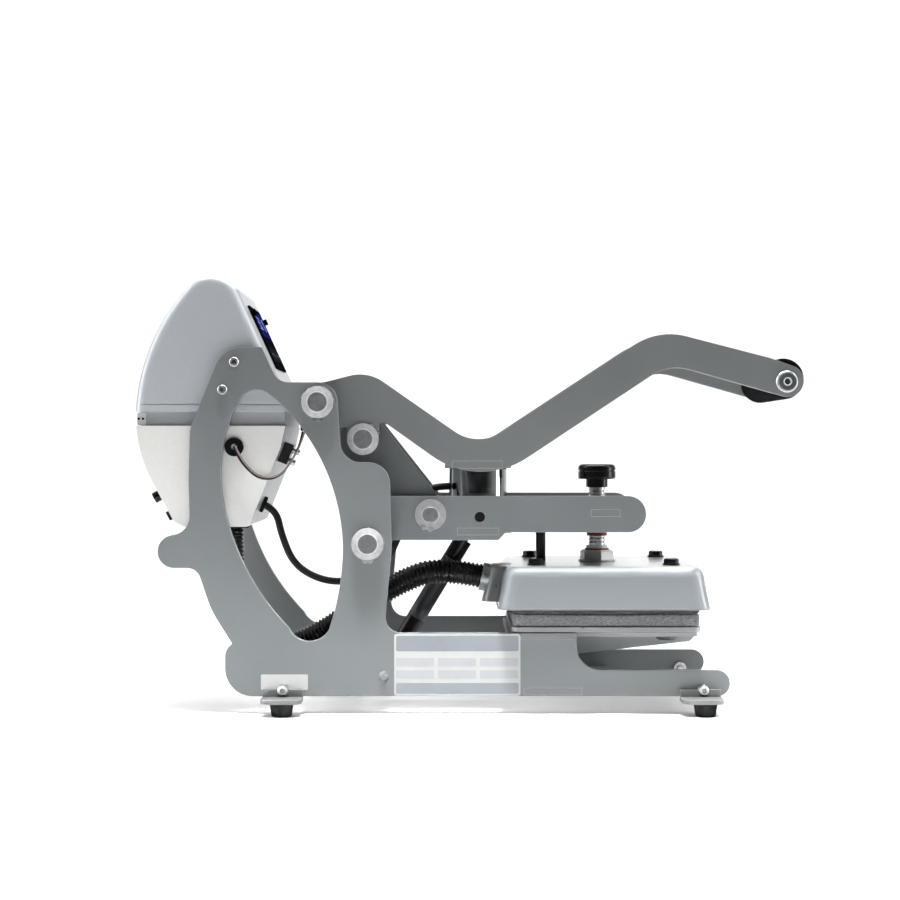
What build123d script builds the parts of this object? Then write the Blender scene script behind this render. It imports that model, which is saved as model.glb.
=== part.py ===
from build123d import *
import math
import os

# Clamshell heat press, closed, standing on its four rubber feet.
# Units are millimetres. +X points to the operator, who stands at the handle. +Y is the far side.
# The origin is on the floor, under the middle of the press.

# Driving dimensions
PLATEN_SIZE = 152.4          # a six inch square heated platen
PLATEN_X = 106.0
LOWER_SIZE = 150.0
LOWER_X = 107.4
PLATE_T = 6.0                # every laser cut plate
PLATE_IN = 70.0              # half the gap between the side plates
ARM_IN = 56.0                # inner face of the lever arms and the press arms
LINK_IN = 48.5
LINK_T = 6.0
PIN_R = 6.35                 # half inch pins
HEAD_R = 12.6
RUN_FIT = 0.05               # radial clearance of a turning fit
FLOOR_CLEAR = 10.6           # height of the rubber feet
BASE_BOTTOM = 13.9
BASE_TOP = 63.6
TOE_TOP = 34.4

# Pivots, as (X, Z)
LEVER_PIVOT = (-120.0, 245.5)
ARM_PIVOT = (-80.6, 133.9)
LEVER_PIN = (-84.9, 216.4)
LINK_PIN = (-31.2, 156.4)
STRUT_FOOT = (-67.9, 29.4)
STRUT_HEAD = (8.0, 154.5)

# Heights of the pressing stack
PAD_BOTTOM = 68.1
PAD_TOP = 78.6
HEAT_BOTTOM = 78.9
COVER_BOTTOM = 82.2
COVER_TOP = 116.0
ARM_TOP = 171.2

PARTS = "parts"
os.makedirs(PARTS, exist_ok=True)


def save(part, name):
    """Label a finished sub-part and write it under its node name."""
    part.label = name
    export_step(part, f"{PARTS}/{name}.step")


def save_set(parts, name):
    """Write pieces that repeat as one node of several solids."""
    save(Compound(children=parts), name)


def side_plane(y):
    """A sketch plane seen from the near side: X to the right, Z up, at depth y."""
    return Plane.XZ.offset(-y)


def cut_plate(corners, y_far, thickness, holes=(), slots=()):
    """A flat plate from corner points (x, z, radius), growing towards the viewer."""
    with BuildPart() as plate:
        with BuildSketch(side_plane(y_far)):
            with BuildLine():
                FilletPolyline([(x, z) for x, z, _ in corners], radius=[r for *_, r in corners], close=True)
            make_face()
            for x, z, r in holes:
                with Locations((x, z)):
                    Circle(r, mode=Mode.SUBTRACT)
            for x, z, w, h in slots:
                with Locations((x, z)):
                    Rectangle(w, h, mode=Mode.SUBTRACT)
        extrude(amount=thickness)
    return plate.part


def cross_rod(x, z, radius, half_length, bore=0.0):
    """A round bar or tube lying across the press."""
    with BuildPart() as rod:
        with BuildSketch(side_plane(half_length)):
            with Locations((x, z)):
                Circle(radius)
                if bore:
                    Circle(bore, mode=Mode.SUBTRACT)
        extrude(amount=2 * half_length)
    return rod.part


# Side plates. The corner list runs clockwise from the shoulder behind the controller.
PLATE_CORNERS = [
    (-194.4, 288.8, 22), (-163.9, 288.8, 1), (-151.4, 261.2, 13), (-105.5, 261.2, 15.7),
    (-101.3, 198.1, 15.7), (-63.4, 198.1, 17.3), (-61.8, 129.0, 47), (-67.7, BASE_TOP, 11.8),
    (83.8, BASE_TOP, 2.4), (84.2, TOE_TOP, 18.9), (204.7, TOE_TOP, 10.2), (204.7, BASE_BOTTOM, 10.2),
    (-192.9, BASE_BOTTOM, 22), (-192.9, 51.9, 11), (-187.2, 55.1, 0.8), (-203.9, 81.8, 80),
    (-214.9, 114.9, 11), (-246.0, 114.9, 12.8), (-246.0, 140.8, 12.8), (-220.4, 140.8, 15),
    (-221.6, 184.2, 150), (-220.6, 224.3, 30),
]
HOUSING_SCREWS = [(-185.6, 277.1), (-194.9, 255.3)]
FOOT_X = (-147.2, 183.7)
BRACKET_SCREW_Z = 18.8
BASE_TABS = [(65.3, 17.6, 45.7, 5.5), (62.0, 60.4, 44.0, 4.0)]


def window_edge():
    """The tall opening of a side plate, as arcs from its top round the rear side."""
    ThreePointArc((-181.5, 247.6), (-170.5, 255.4), (-159.0, 252.4))
    ThreePointArc((-159.0, 252.4), (-144.2, 239.6), (-131.0, 222.9))
    ThreePointArc((-131.0, 222.9), (-108.6, 179.5), (-100.1, 130.7))
    ThreePointArc((-100.1, 130.7), (-103.1, 97.6), (-111.0, 66.5))
    ThreePointArc((-111.0, 66.5), (-126.0, 57.0), (-142.5, 67.4))
    ThreePointArc((-142.5, 67.4), (-176.0, 113.5), (-195.1, 172.4))
    ThreePointArc((-195.1, 172.4), (-194.3, 211.0), (-181.5, 247.6))


def side_plate(y_far):
    pin_hole = PIN_R + 0.02
    holes = [(*LEVER_PIVOT, pin_hole), (*ARM_PIVOT, pin_hole), (*STRUT_FOOT, 4.02)]
    holes += [(x, z, 2.2) for x, z in HOUSING_SCREWS]
    holes += [(x, BRACKET_SCREW_Z, 2.5) for x in FOOT_X]
    blank = cut_plate(PLATE_CORNERS, y_far, PLATE_T, holes, BASE_TABS)
    with BuildPart() as plate:
        add(blank)
        with BuildSketch(side_plane(y_far)):
            with BuildLine():
                window_edge()
            make_face()
        extrude(amount=PLATE_T, mode=Mode.SUBTRACT)
    return plate.part


save(side_plate(-PLATE_IN), "near_side_plate")
save(side_plate(PLATE_IN + PLATE_T), "far_side_plate")


def cross_plate(x_span, z_span, half_width, tabs=(), holes=()):
    """A plate between two side members, whose end tabs show in their slots."""
    width = x_span[1] - x_span[0]
    height = z_span[1] - z_span[0]
    with BuildPart() as plate:
        with Locations((sum(x_span) / 2, 0, sum(z_span) / 2)):
            Box(width, 2 * half_width, height)
        for x, z, w, h in tabs:
            with Locations((x, 0, z)):
                Box(w - 0.1, 2 * (half_width + PLATE_T), h - 0.1)
        for x, y, r in holes:
            with Locations((x, y, sum(z_span) / 2)):
                Cylinder(r, 2 * height, mode=Mode.SUBTRACT)
    return plate.part


front_cross = cross_plate((42.0, 120.0), (14.9, 20.4), PLATE_IN, BASE_TABS[:1])
top_cross = cross_plate((30.0, 84.0), (58.4, 62.4), PLATE_IN, BASE_TABS[1:])
rear_cross = cross_plate((-134.0, -84.0), (14.9, 20.4), PLATE_IN)
save_set([front_cross, top_cross, rear_cross], "base_cross_plates")


def turned(x, z, profile):
    """A turned piece on a cross axis through (x, z); the profile is (y, radius) points."""
    with BuildPart() as piece:
        with BuildSketch(Plane(origin=(x, 0, z), x_dir=(0, 1, 0), z_dir=(1, 0, 0))):
            with BuildLine():
                Polyline(*profile, close=True)
            make_face()
        revolve(axis=Axis((x, 0, z), (0, 1, 0)))
    return piece.part


# Pins. Each big head has a bright bevel round a flat face.
HEAD_T = 5.0
BEVEL = 1.7
HEAD_FLAT = 7.6


def head_profile(y, side):
    """Half of a pin head, from its seat at y out to its axis; side is -1 for the near end."""
    outer = y + side * HEAD_T
    return [(y, HEAD_R), (outer - side * BEVEL, HEAD_R), (outer, HEAD_FLAT), (outer, 0)]


def through_pin(pivot, name):
    seat = PLATE_IN + PLATE_T + 1.0
    near = head_profile(-seat, -1)
    far = head_profile(seat, 1)
    profile = near[::-1] + [(-seat, PIN_R), (seat, PIN_R)] + far
    save(turned(*pivot, profile), name)


through_pin(LEVER_PIVOT, "lever_pivot_pin")
through_pin(ARM_PIVOT, "arm_pivot_pin")


def snap_ring(pivot, y_seat, turn):
    """A flat retaining ring under a pin head, with two small ears past its rim."""
    x, z = pivot
    with BuildPart() as ring:
        with BuildSketch(side_plane(y_seat)):
            with Locations((x, z)):
                Circle(HEAD_R + 0.7)
                with PolarLocations(HEAD_R + 0.6, 2, start_angle=turn, angular_range=34):
                    Circle(2.4)
            with Locations((x, z)):
                Circle(PIN_R + 0.02, mode=Mode.SUBTRACT)
        extrude(amount=1.0)
    return ring.part


OUTER = PLATE_IN + PLATE_T
rings = [snap_ring(pivot, y, 262) for pivot in (LEVER_PIVOT, ARM_PIVOT) for y in (-OUTER, OUTER + 1.0)]
save_set(rings, "retaining_rings")

# Gas spring foot pin, domed where it shows on the side plates
DOME = 1.6
save(
    turned(*STRUT_FOOT, [
        (-OUTER - DOME, 0), (-OUTER - DOME, 2.4), (-OUTER, 4.0),
        (OUTER, 4.0), (OUTER + DOME, 2.4), (OUTER + DOME, 0),
    ]),
    "strut_foot_pin",
)

# Lower platen, its pad and the wedge shaped carrier below it
with BuildPart() as lower_platen:
    with BuildSketch(Plane.XY.offset(BASE_TOP)):
        with Locations((LOWER_X, 0)):
            RectangleRounded(LOWER_SIZE, LOWER_SIZE, 7)
    extrude(amount=PAD_BOTTOM - BASE_TOP)
    chamfer(lower_platen.faces().sort_by(Axis.Z)[0].edges(), 0.8)
save(lower_platen.part, "lower_platen")

with BuildPart() as platen_pad:
    with BuildSketch(Plane.XY.offset(PAD_BOTTOM)):
        with Locations((LOWER_X, 0)):
            RectangleRounded(LOWER_SIZE, LOWER_SIZE, 7)
    extrude(amount=PAD_TOP - PAD_BOTTOM)
    fillet(platen_pad.faces().sort_by(Axis.Z)[-1].edges(), 1.6)
save(platen_pad.part, "platen_pad")

CARRIER_HALF = 30.0
CARRIER_WALL = 3.0
CARRIER_FROM = 84.3
CARRIER_TO = 181.6
FLANGE_BOTTOM = 58.9
FLANGE_HALF = 56.0
CARRIER_EDGE = [
    (CARRIER_FROM, 41.9, 1), (179.0, 52.4, 4), (184.0, 57.8, 1), (184.0, BASE_TOP, 0.5), (CARRIER_FROM, BASE_TOP, 0.5),
]
carrier_blank = cut_plate(CARRIER_EDGE, CARRIER_HALF, 2 * CARRIER_HALF)
with BuildPart() as carrier:
    add(carrier_blank)
    with Locations(((CARRIER_FROM + CARRIER_TO) / 2, 0, (FLANGE_BOTTOM + BASE_TOP) / 2)):
        Box(CARRIER_TO - CARRIER_FROM, 2 * FLANGE_HALF, BASE_TOP - FLANGE_BOTTOM)
    with Locations((145.0, 0, 46.0)):
        Box(130.0, 2 * (CARRIER_HALF - CARRIER_WALL), 2 * (BASE_TOP - CARRIER_WALL - 46.0), mode=Mode.SUBTRACT)
save(carrier.part, "platen_carrier")

with BuildPart(Plane(origin=(158.2, -44.0, FLANGE_BOTTOM), z_dir=(0, 0, -1))) as platen_lock:
    Cylinder(8.7, 3.8, align=(Align.CENTER, Align.CENTER, Align.MIN))
    fillet(platen_lock.faces().sort_by(Axis.Z)[0].edges(), 3.0)
save(platen_lock.part, "platen_lock")

# Feet: an angle bracket outside each side plate, a button screw, a nut and a rubber foot
BRACKET_X = (-147.2, 181.0)
BRACKET_W = 32.0
BRACKET_OUT = 24.0
SHEET = 3.3
FOOT_Y = 88.0


def foot_bracket(x, screw_x, side):
    wall = side * (OUTER + SHEET / 2)
    with BuildPart() as bracket:
        with BuildSketch(Plane.XY.offset(FLOOR_CLEAR)):
            with Locations((x, side * (OUTER + BRACKET_OUT / 2))):
                Rectangle(BRACKET_W, BRACKET_OUT)
        extrude(amount=SHEET)
        fillet(bracket.edges().filter_by(Axis.Z).group_by(Axis.Y)[0 if side < 0 else -1], 6)
        with Locations((x, wall, FLOOR_CLEAR + 4.5)):
            Box(BRACKET_W, SHEET, 9.0)
        with BuildSketch(side_plane(wall + SHEET / 2)):
            with Locations((screw_x, BRACKET_SCREW_Z)):
                Circle(4.5)
        extrude(amount=SHEET)
        with BuildSketch(side_plane(wall + SHEET / 2)):
            with Locations((screw_x, BRACKET_SCREW_Z)):
                Circle(2.5)
        extrude(amount=SHEET, mode=Mode.SUBTRACT)
    return bracket.part


def bracket_screw(x, side):
    """Button screw outside, nut inside, as one tightened fastener."""
    seat = OUTER + SHEET
    nut = PLATE_IN - 4.0
    profile = [
        (-seat - 1.4, 0), (-seat - 1.4, 1.9), (-seat - 3.0, 1.9), (-seat - 3.0, 2.6), (-seat - 1.8, 3.9), (-seat, 4.7), (-seat, 2.45),
        (-PLATE_IN, 2.45), (-PLATE_IN, 5.4), (-nut, 5.4), (-nut, 2.4), (-nut + 2.0, 2.0), (-nut + 2.0, 0),
    ]
    if side > 0:
        profile = [(-y, r) for y, r in profile]
    return turned(x, BRACKET_SCREW_Z, profile)


def rubber_foot(x, side):
    with BuildPart() as foot:
        with BuildSketch():
            with Locations((x, side * FOOT_Y)):
                Circle(7.9)
        with BuildSketch(Plane.XY.offset(FLOOR_CLEAR)):
            with Locations((x, side * FOOT_Y)):
                Circle(9.5)
        loft()
        fillet(foot.faces().sort_by(Axis.Z)[0].edges(), 0.8)
    return foot.part


def housing_screw(x, z, side):
    """Small socket screw that holds the controller housing to a side plate."""
    profile = [(OUTER + 0.8, 0), (OUTER + 0.8, 1.8), (OUTER + 2.4, 1.8), (OUTER + 2.4, 3.2), (OUTER + 1.8, 3.8)]
    profile += [(OUTER, 3.8)]
    profile += [(OUTER, 2.15), (PLATE_IN - 0.4, 2.15), (PLATE_IN - 0.4, 0)]
    return turned(x, z, [(side * y, r) for y, r in profile])


brackets = [foot_bracket(x, screw_x, side) for x, screw_x in zip(BRACKET_X, FOOT_X) for side in (-1, 1)]
corners = [(x, side) for x in FOOT_X for side in (-1, 1)]
screws = [bracket_screw(x, side) for x, side in corners]
screws += [housing_screw(x, z, side) for x, z in HOUSING_SCREWS for side in (-1, 1)]
save_set(brackets, "foot_brackets")
save_set([rubber_foot(x, side) for x, side in corners], "rubber_feet")
save_set(screws, "plate_screws")

# Lever: two arms round the same corners, the grip, the strike plate and the pivot tube
LEVER_CORNERS = [
    (-135.9, 261.4, 15.8), (-117.0, 261.4, 30), (-81.1, 270.6, 32), (6.5, 209.6, 33.5),
    (149.9, 304.1, 52), (238.6, 281.1, 50), (268.7, 270.5, 12.1), (261.1, 247.3, 12.1),
    (158.6, 276.3, 36), (7.5, 176.3, 67), (-72.4, 233.0, 3.0), (-72.4, 203.9, 12.4),
    (-97.4, 203.9, 12.4), (-97.4, 226.0, 2), (-135.9, 229.8, 15.8),
]
GRIP = (251.8, 262.1)
STRIKE_TAB = (6.0, 196.2, 40.0, 5.8)
lever_holes = [(*LEVER_PIVOT, PIN_R + RUN_FIT), (*LEVER_PIN, PIN_R + 0.02), (*GRIP, 3.3)]
for y_far, place in ((-ARM_IN, "near"), (ARM_IN + PLATE_T, "far")):
    save(cut_plate(LEVER_CORNERS, y_far, PLATE_T, lever_holes, [STRIKE_TAB]), f"lever_arm_{place}")

PIVOT_TUBE_R = 11.0
save(cross_rod(*LEVER_PIVOT, PIVOT_TUBE_R, ARM_IN, PIN_R + RUN_FIT), "lever_pivot_tube")

# The grip's bore is off its centre, so that its round back stands clear above the lever ends
GRIP_CENTRE = (250.7, 264.6)
GRIP_R = 16.4
with BuildPart() as grip:
    add(cross_rod(*GRIP_CENTRE, GRIP_R, ARM_IN - 0.2))
    with BuildSketch(side_plane(ARM_IN)):
        with Locations(GRIP):
            Circle(3.3)
    extrude(amount=2 * ARM_IN, mode=Mode.SUBTRACT)
    fillet(grip.edges().filter_by(GeomType.CIRCLE).filter_by(lambda e: e.radius > GRIP_R - 1), 2.0)
save(grip.part, "handle_grip")


def grip_bolt(side):
    """Socket head bolt on a plain washer, on the outside of a lever arm."""
    seat = ARM_IN + PLATE_T
    rim = [(seat, 0), (seat, 8.0), (seat + 0.6, 8.6), (seat + 2.2, 8.6), (seat + 2.8, 8.0), (seat + 2.8, 7.2)]
    rim += [(seat + 5.0, 7.2), (seat + 5.6, 6.6)]
    socket = [(seat + 5.6, 2.5), (seat + 2.4, 2.5), (seat + 2.4, 0)]
    return turned(*GRIP, [(side * y, r) for y, r in rim + socket])


with BuildPart() as grip_bolts:
    add(cross_rod(*GRIP, 3.25, ARM_IN + PLATE_T))
    add(grip_bolt(-1))
    add(grip_bolt(1))
save(grip_bolts.part, "grip_bolts")

save(cross_plate((-20.0, 33.0), (193.2, 199.2), ARM_IN, [STRIKE_TAB]), "strike_plate")


def stub_pin(pivot, side):
    """The short headed pin that joins one lever arm to the link."""
    seat = ARM_IN + PLATE_T + 0.4
    head = head_profile(-seat, -1)
    profile = [(-ARM_IN + 0.2, 0), (-ARM_IN + 0.2, PIN_R), (-seat, PIN_R)] + head
    if side > 0:
        profile = [(-y, r) for y, r in profile]
    return turned(*pivot, profile)


save_set([stub_pin(LEVER_PIN, -1), stub_pin(LEVER_PIN, 1)], "lever_pins")

# Link: two tapered plates on a short shaft at the lever and a long one at the press arms
LINK_TOP_R = 19.0
LINK_LOW_R = 14.0


def link_plate(y_far):
    with BuildPart() as plate:
        with BuildSketch(side_plane(y_far)):
            with Locations(LEVER_PIN):
                Circle(LINK_TOP_R)
            with Locations(LINK_PIN):
                Circle(LINK_LOW_R)
            make_hull()
            with Locations(LEVER_PIN):
                Circle(PIN_R + 0.02, mode=Mode.SUBTRACT)
            with Locations(LINK_PIN):
                Circle(PIN_R + RUN_FIT, mode=Mode.SUBTRACT)
        extrude(amount=LINK_T)
    return plate.part


save(link_plate(-LINK_IN), "link_near")
save(link_plate(LINK_IN + LINK_T), "link_far")
save(cross_rod(*LEVER_PIN, PIN_R, LINK_IN + LINK_T + 0.4), "link_shaft")
save(cross_rod(*LINK_PIN, 10.0, LINK_IN, PIN_R + RUN_FIT), "link_tube")

# Press arms, from their pivot between the side plates to the platen
ARM_CORNERS = [
    (-97.4, ARM_TOP, 28), (140.2, ARM_TOP, 14.3), (140.2, 142.3, 14.3), (28.5, 142.3, 3),
    (23.0, 136.2, 3), (-64.5, 136.2, 2), (-64.5, 117.9, 16), (-97.4, 117.9, 16),
]
MAGNET_X = 7.5
ARM_PLATE_TAB = (6.5, 143.0, 33.0, 5.5)
NUT_PLATE_TAB = (108.0, 157.7, 23.0, 5.6)
arm_holes = [(*ARM_PIVOT, PIN_R + RUN_FIT), (*LINK_PIN, PIN_R + 0.02), (*STRUT_HEAD, 4.2)]
for y_far, place in ((-ARM_IN, "near"), (ARM_IN + PLATE_T, "far")):
    arm = cut_plate(ARM_CORNERS, y_far, PLATE_T, arm_holes, (ARM_PLATE_TAB, NUT_PLATE_TAB))
    save(arm, f"press_arm_{place}")

save(cross_rod(*ARM_PIVOT, PIVOT_TUBE_R, ARM_IN, PIN_R + RUN_FIT), "arm_pivot_tube")

# The magnet plate has notched rear corners, which leave room for the link as it folds back
NOTCH_DEPTH = 10.0
NOTCH_WIDTH = 9.0
with BuildPart() as magnet_plate:
    add(cross_plate((-17.0, 33.0), (162.0, 166.0), ARM_IN))
    for side in (-1, 1):
        with Locations((-17.0 + NOTCH_DEPTH / 2, side * (ARM_IN - NOTCH_WIDTH / 2), 164.0)):
            Box(NOTCH_DEPTH, NOTCH_WIDTH, 10.0, mode=Mode.SUBTRACT)
save(magnet_plate.part, "magnet_plate")

# The lower plate has a slot, open at the rear, that the gas spring swings through
SPRING_SLOT = (-22.0, 26.0)
SPRING_SLOT_W = 24.0
with BuildPart() as arm_plate:
    add(cross_plate((-22.0, 34.0), (140.2, 145.8), ARM_IN, [ARM_PLATE_TAB]))
    with Locations((sum(SPRING_SLOT) / 2, 0, 143.0)):
        Box(SPRING_SLOT[1] - SPRING_SLOT[0], SPRING_SLOT_W, 10.0, mode=Mode.SUBTRACT)
    for side in (-1, 1):
        with Locations((31.0, side * 42.0, 143.0)):
            Box(8.0, 28.1, 10.0, mode=Mode.SUBTRACT)
save(arm_plate.part, "arm_lower_plate")


def plate_bolt(y):
    """Round headed bolt under the lower arm plate."""
    with BuildPart(Plane(origin=(7.5, y, 140.2), z_dir=(0, 0, -1))) as bolt:
        Cylinder(6.0, 5.0, align=(Align.CENTER, Align.CENTER, Align.MIN))
        fillet(bolt.faces().sort_by(Axis.Z)[0].edges(), 2.0)
    return bolt.part


save_set([plate_bolt(-38.0), plate_bolt(38.0)], "plate_bolts")

MAGNET_R = 24.0
MAGNET_FOOT = 166.0
MAGNET_TOP = 192.8
with BuildPart(Plane(origin=(MAGNET_X, 0, MAGNET_FOOT))) as magnet:
    Cylinder(MAGNET_R, MAGNET_TOP - MAGNET_FOOT, align=(Align.CENTER, Align.CENTER, Align.MIN))
    chamfer(magnet.edges().filter_by(GeomType.CIRCLE), 0.8)
    with BuildSketch(Plane(origin=(MAGNET_X, 0, MAGNET_TOP))):
        Circle(19.0)
        Circle(10.0, mode=Mode.SUBTRACT)
    extrude(amount=-0.6, mode=Mode.SUBTRACT)
save(magnet.part, "electromagnet")

# Nut plate with its threaded bushing, guide hole and dark red seal ring
SCREW_R = 7.0
THREAD_BORE = SCREW_R + 0.08
GUIDE_X = 59.4
GUIDE_R = 4.1
nut_holes = [(PLATEN_X, 0, 11.0), (GUIDE_X, 0, GUIDE_R + 0.1)]
save(cross_plate((48.0, 122.0), (154.8, 160.6), ARM_IN, [NUT_PLATE_TAB], nut_holes), "nut_plate")

with BuildPart(Plane(origin=(PLATEN_X, 0, 139.8))) as nut_bushing:
    Cylinder(11.0, 27.0, align=(Align.CENTER, Align.CENTER, Align.MIN))
    Cylinder(THREAD_BORE, 60.0, mode=Mode.SUBTRACT)
    chamfer(nut_bushing.faces().sort_by(Axis.Z)[-1].edges(), 1.0)
save(nut_bushing.part, "nut_bushing")

with BuildPart(Plane(origin=(PLATEN_X, 0, 137.0))) as seal_ring:
    Cylinder(8.4, 2.8, align=(Align.CENTER, Align.CENTER, Align.MIN))
    Cylinder(THREAD_BORE, 10.0, mode=Mode.SUBTRACT)
save(seal_ring.part, "seal_ring")


def link_pin():
    """The long pin through both press arms, with a washer and a plain end on each side."""
    seat = ARM_IN + PLATE_T
    half = [(seat, PIN_R), (seat, 12.4), (seat + 1.6, 12.4), (seat + 1.6, 9.6), (seat + 2.6, 9.6)]
    half += [(seat + 2.6, PIN_R), (seat + 5.2, PIN_R), (seat + 5.8, PIN_R - 0.6), (seat + 5.8, 0)]
    near = [(-y, r) for y, r in half[::-1]]
    return turned(*LINK_PIN, near + half)


save(link_pin(), "link_pin")


def strut_head_pin(side):
    """Half of the gas spring's upper bolt, from one press arm inwards."""
    outer = ARM_IN + PLATE_T - 2.6
    profile = [(11.0, 0), (11.0, 5.2), (ARM_IN, 5.2), (ARM_IN, 4.15), (outer, 4.15), (outer, 0)]
    return turned(*STRUT_HEAD, [(side * y, r) for y, r in profile])


save_set([strut_head_pin(-1), strut_head_pin(1)], "strut_head_pins")

# Gas spring, from its foot between the side plates to its head between the press arms
strut_run = Vector(STRUT_HEAD[0] - STRUT_FOOT[0], 0, STRUT_HEAD[1] - STRUT_FOOT[1])
STRUT_LENGTH = strut_run.length
CYLINDER_R = 7.5
ROD_R = 4.0
CYLINDER_FROM = 12.0
CYLINDER_TO = 122.0
BORE_FROM = 30.0
strut_base = Plane(origin=(STRUT_FOOT[0], 0, STRUT_FOOT[1]), x_dir=(0, 1, 0), z_dir=strut_run.normalized())

with BuildPart(strut_base) as strut_cylinder:
    with Locations((0, 0, 0)):
        Cylinder(7.5, 12.0, rotation=(0, 90, 0))
    with Locations((0, 0, 4.0)):
        Cylinder(4.5, CYLINDER_FROM - 4.0, align=(Align.CENTER, Align.CENTER, Align.MIN))
    with Locations((0, 0, CYLINDER_FROM)):
        Cylinder(CYLINDER_R, CYLINDER_TO - CYLINDER_FROM, align=(Align.CENTER, Align.CENTER, Align.MIN))
    with Locations((0, 0, 0)):
        Cylinder(4.0 + RUN_FIT, 20.0, rotation=(0, 90, 0), mode=Mode.SUBTRACT)
    with Locations((0, 0, BORE_FROM)):
        Cylinder(
            ROD_R + RUN_FIT, CYLINDER_TO - BORE_FROM + 1,
            align=(Align.CENTER, Align.CENTER, Align.MIN), mode=Mode.SUBTRACT,
        )
save(strut_cylinder.part, "strut_cylinder")

with BuildPart(strut_base) as strut_rod:
    with Locations((0, 0, 42.0)):
        Cylinder(ROD_R, STRUT_LENGTH - 42.0, align=(Align.CENTER, Align.CENTER, Align.MIN))
    with Locations((0, 0, STRUT_LENGTH)):
        Cylinder(7.0, 18.0, rotation=(0, 90, 0))
save(strut_rod.part, "strut_rod")
print("strut runs along", strut_run.normalized())

# Heated head: cast cover, aluminium platen and their fasteners
COVER_LOW = (167.6, 168.0)
COVER_HIGH = (156.0, 157.0)
CAVITY = 154.4
CAVITY_TOP = 104.0
with BuildPart() as platen_cover:
    with BuildSketch(Plane.XY.offset(COVER_BOTTOM)):
        with Locations((PLATEN_X, 0)):
            RectangleRounded(*COVER_LOW, 13)
    with BuildSketch(Plane.XY.offset(COVER_TOP)):
        with Locations((PLATEN_X, 0)):
            RectangleRounded(*COVER_HIGH, 14)
    loft()
    fillet(platen_cover.faces().sort_by(Axis.Z)[-1].edges(), 10)
    with BuildSketch(Plane.XY.offset(COVER_BOTTOM)):
        with Locations((PLATEN_X, 0)):
            RectangleRounded(COVER_LOW[0] + 1.0, COVER_LOW[1] + 1.0, 13.5)
    extrude(amount=1.5)
    with BuildSketch(Plane.XY.offset(COVER_BOTTOM)):
        with Locations((PLATEN_X, 0)):
            RectangleRounded(CAVITY, CAVITY, 14)
    extrude(amount=CAVITY_TOP - COVER_BOTTOM, mode=Mode.SUBTRACT)
save(platen_cover.part, "platen_cover")

with BuildPart() as heat_platen:
    with BuildSketch(Plane.XY.offset(HEAT_BOTTOM)):
        with Locations((PLATEN_X, 0)):
            RectangleRounded(PLATEN_SIZE, PLATEN_SIZE, 12)
    extrude(amount=CAVITY_TOP - HEAT_BOTTOM)
    chamfer(heat_platen.faces().sort_by(Axis.Z)[0].edges(), 0.8)
save(heat_platen.part, "heat_platen")


def cap_nut(x, y):
    """Black domed nut on a washer."""
    with BuildPart(Plane(origin=(x, y, COVER_TOP))) as nut:
        Cylinder(7.0, 1.4, align=(Align.CENTER, Align.CENTER, Align.MIN))
        with BuildSketch(Plane(origin=(x, y, COVER_TOP + 1.4))):
            RegularPolygon(6.0, 6)
        extrude(amount=4.0)
        fillet(nut.faces().sort_by(Axis.Z)[-1].edges(), 1.8)
    return nut.part


CAP_X = (52.9, 161.0)
CAP_Y = 55.0
save_set([cap_nut(x, y) for x in CAP_X for y in (-CAP_Y, CAP_Y)], "cap_nuts")

HEX_FLATS = 24.8
HEX_TOP = 125.4
HEX_TURN = 40
with BuildPart(Plane(origin=(PLATEN_X, 0, COVER_TOP))) as hex_retainer:
    with BuildSketch(Plane(origin=(PLATEN_X, 0, COVER_TOP))):
        RegularPolygon(HEX_FLATS / 2, 6, major_radius=False, rotation=HEX_TURN)
    extrude(amount=HEX_TOP - COVER_TOP)
    chamfer(hex_retainer.faces().sort_by(Axis.Z)[-1].edges(), 1.6)
    Cylinder(15.2, 1.2, align=(Align.CENTER, Align.CENTER, Align.MIN))
    with Locations((0, 0, HEX_TOP - COVER_TOP)):
        Cylinder(8.9, 3.6, align=(Align.CENTER, Align.CENTER, Align.MIN))
    with Locations((0, 0, 2.0)):
        Cylinder(THREAD_BORE, 40.0, align=(Align.CENTER, Align.CENTER, Align.MIN), mode=Mode.SUBTRACT)
save(hex_retainer.part, "hex_retainer")

with BuildPart(Plane(origin=(GUIDE_X, 0, COVER_TOP))) as guide_pin:
    Cylinder(GUIDE_R, 49.0, align=(Align.CENTER, Align.CENTER, Align.MIN))
    chamfer(guide_pin.faces().sort_by(Axis.Z)[-1].edges(), 0.8)
save(guide_pin.part, "guide_pin")

# Pressure knob, a round cap with a groove on a narrower hub, and its screw
HUB_BOTTOM = 177.1
HUB_R = 9.0
KNOB_Z = 183.8
KNOB_TOP = 196.2
KNOB_R = 15.6
GROOVE_Z = 190.2
GROOVE_DEPTH = 0.8
with BuildPart(Plane(origin=(PLATEN_X, 0, HUB_BOTTOM))) as pressure_knob:
    with Locations((0, 0, KNOB_Z - HUB_BOTTOM)):
        Cylinder(KNOB_R, KNOB_TOP - KNOB_Z, align=(Align.CENTER, Align.CENTER, Align.MIN))
    fillet(pressure_knob.faces().sort_by(Axis.Z)[-1].edges(), 3.6)
    fillet(pressure_knob.faces().sort_by(Axis.Z)[0].edges(), 1.6)
    Cylinder(HUB_R, KNOB_Z - HUB_BOTTOM + 1.0, align=(Align.CENTER, Align.CENTER, Align.MIN))
    with BuildSketch(Plane(origin=(PLATEN_X, 0, GROOVE_Z))):
        Circle(KNOB_R + 1)
        Circle(KNOB_R - GROOVE_DEPTH, mode=Mode.SUBTRACT)
    extrude(amount=0.9, mode=Mode.SUBTRACT)
save(pressure_knob.part, "pressure_knob")

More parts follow.
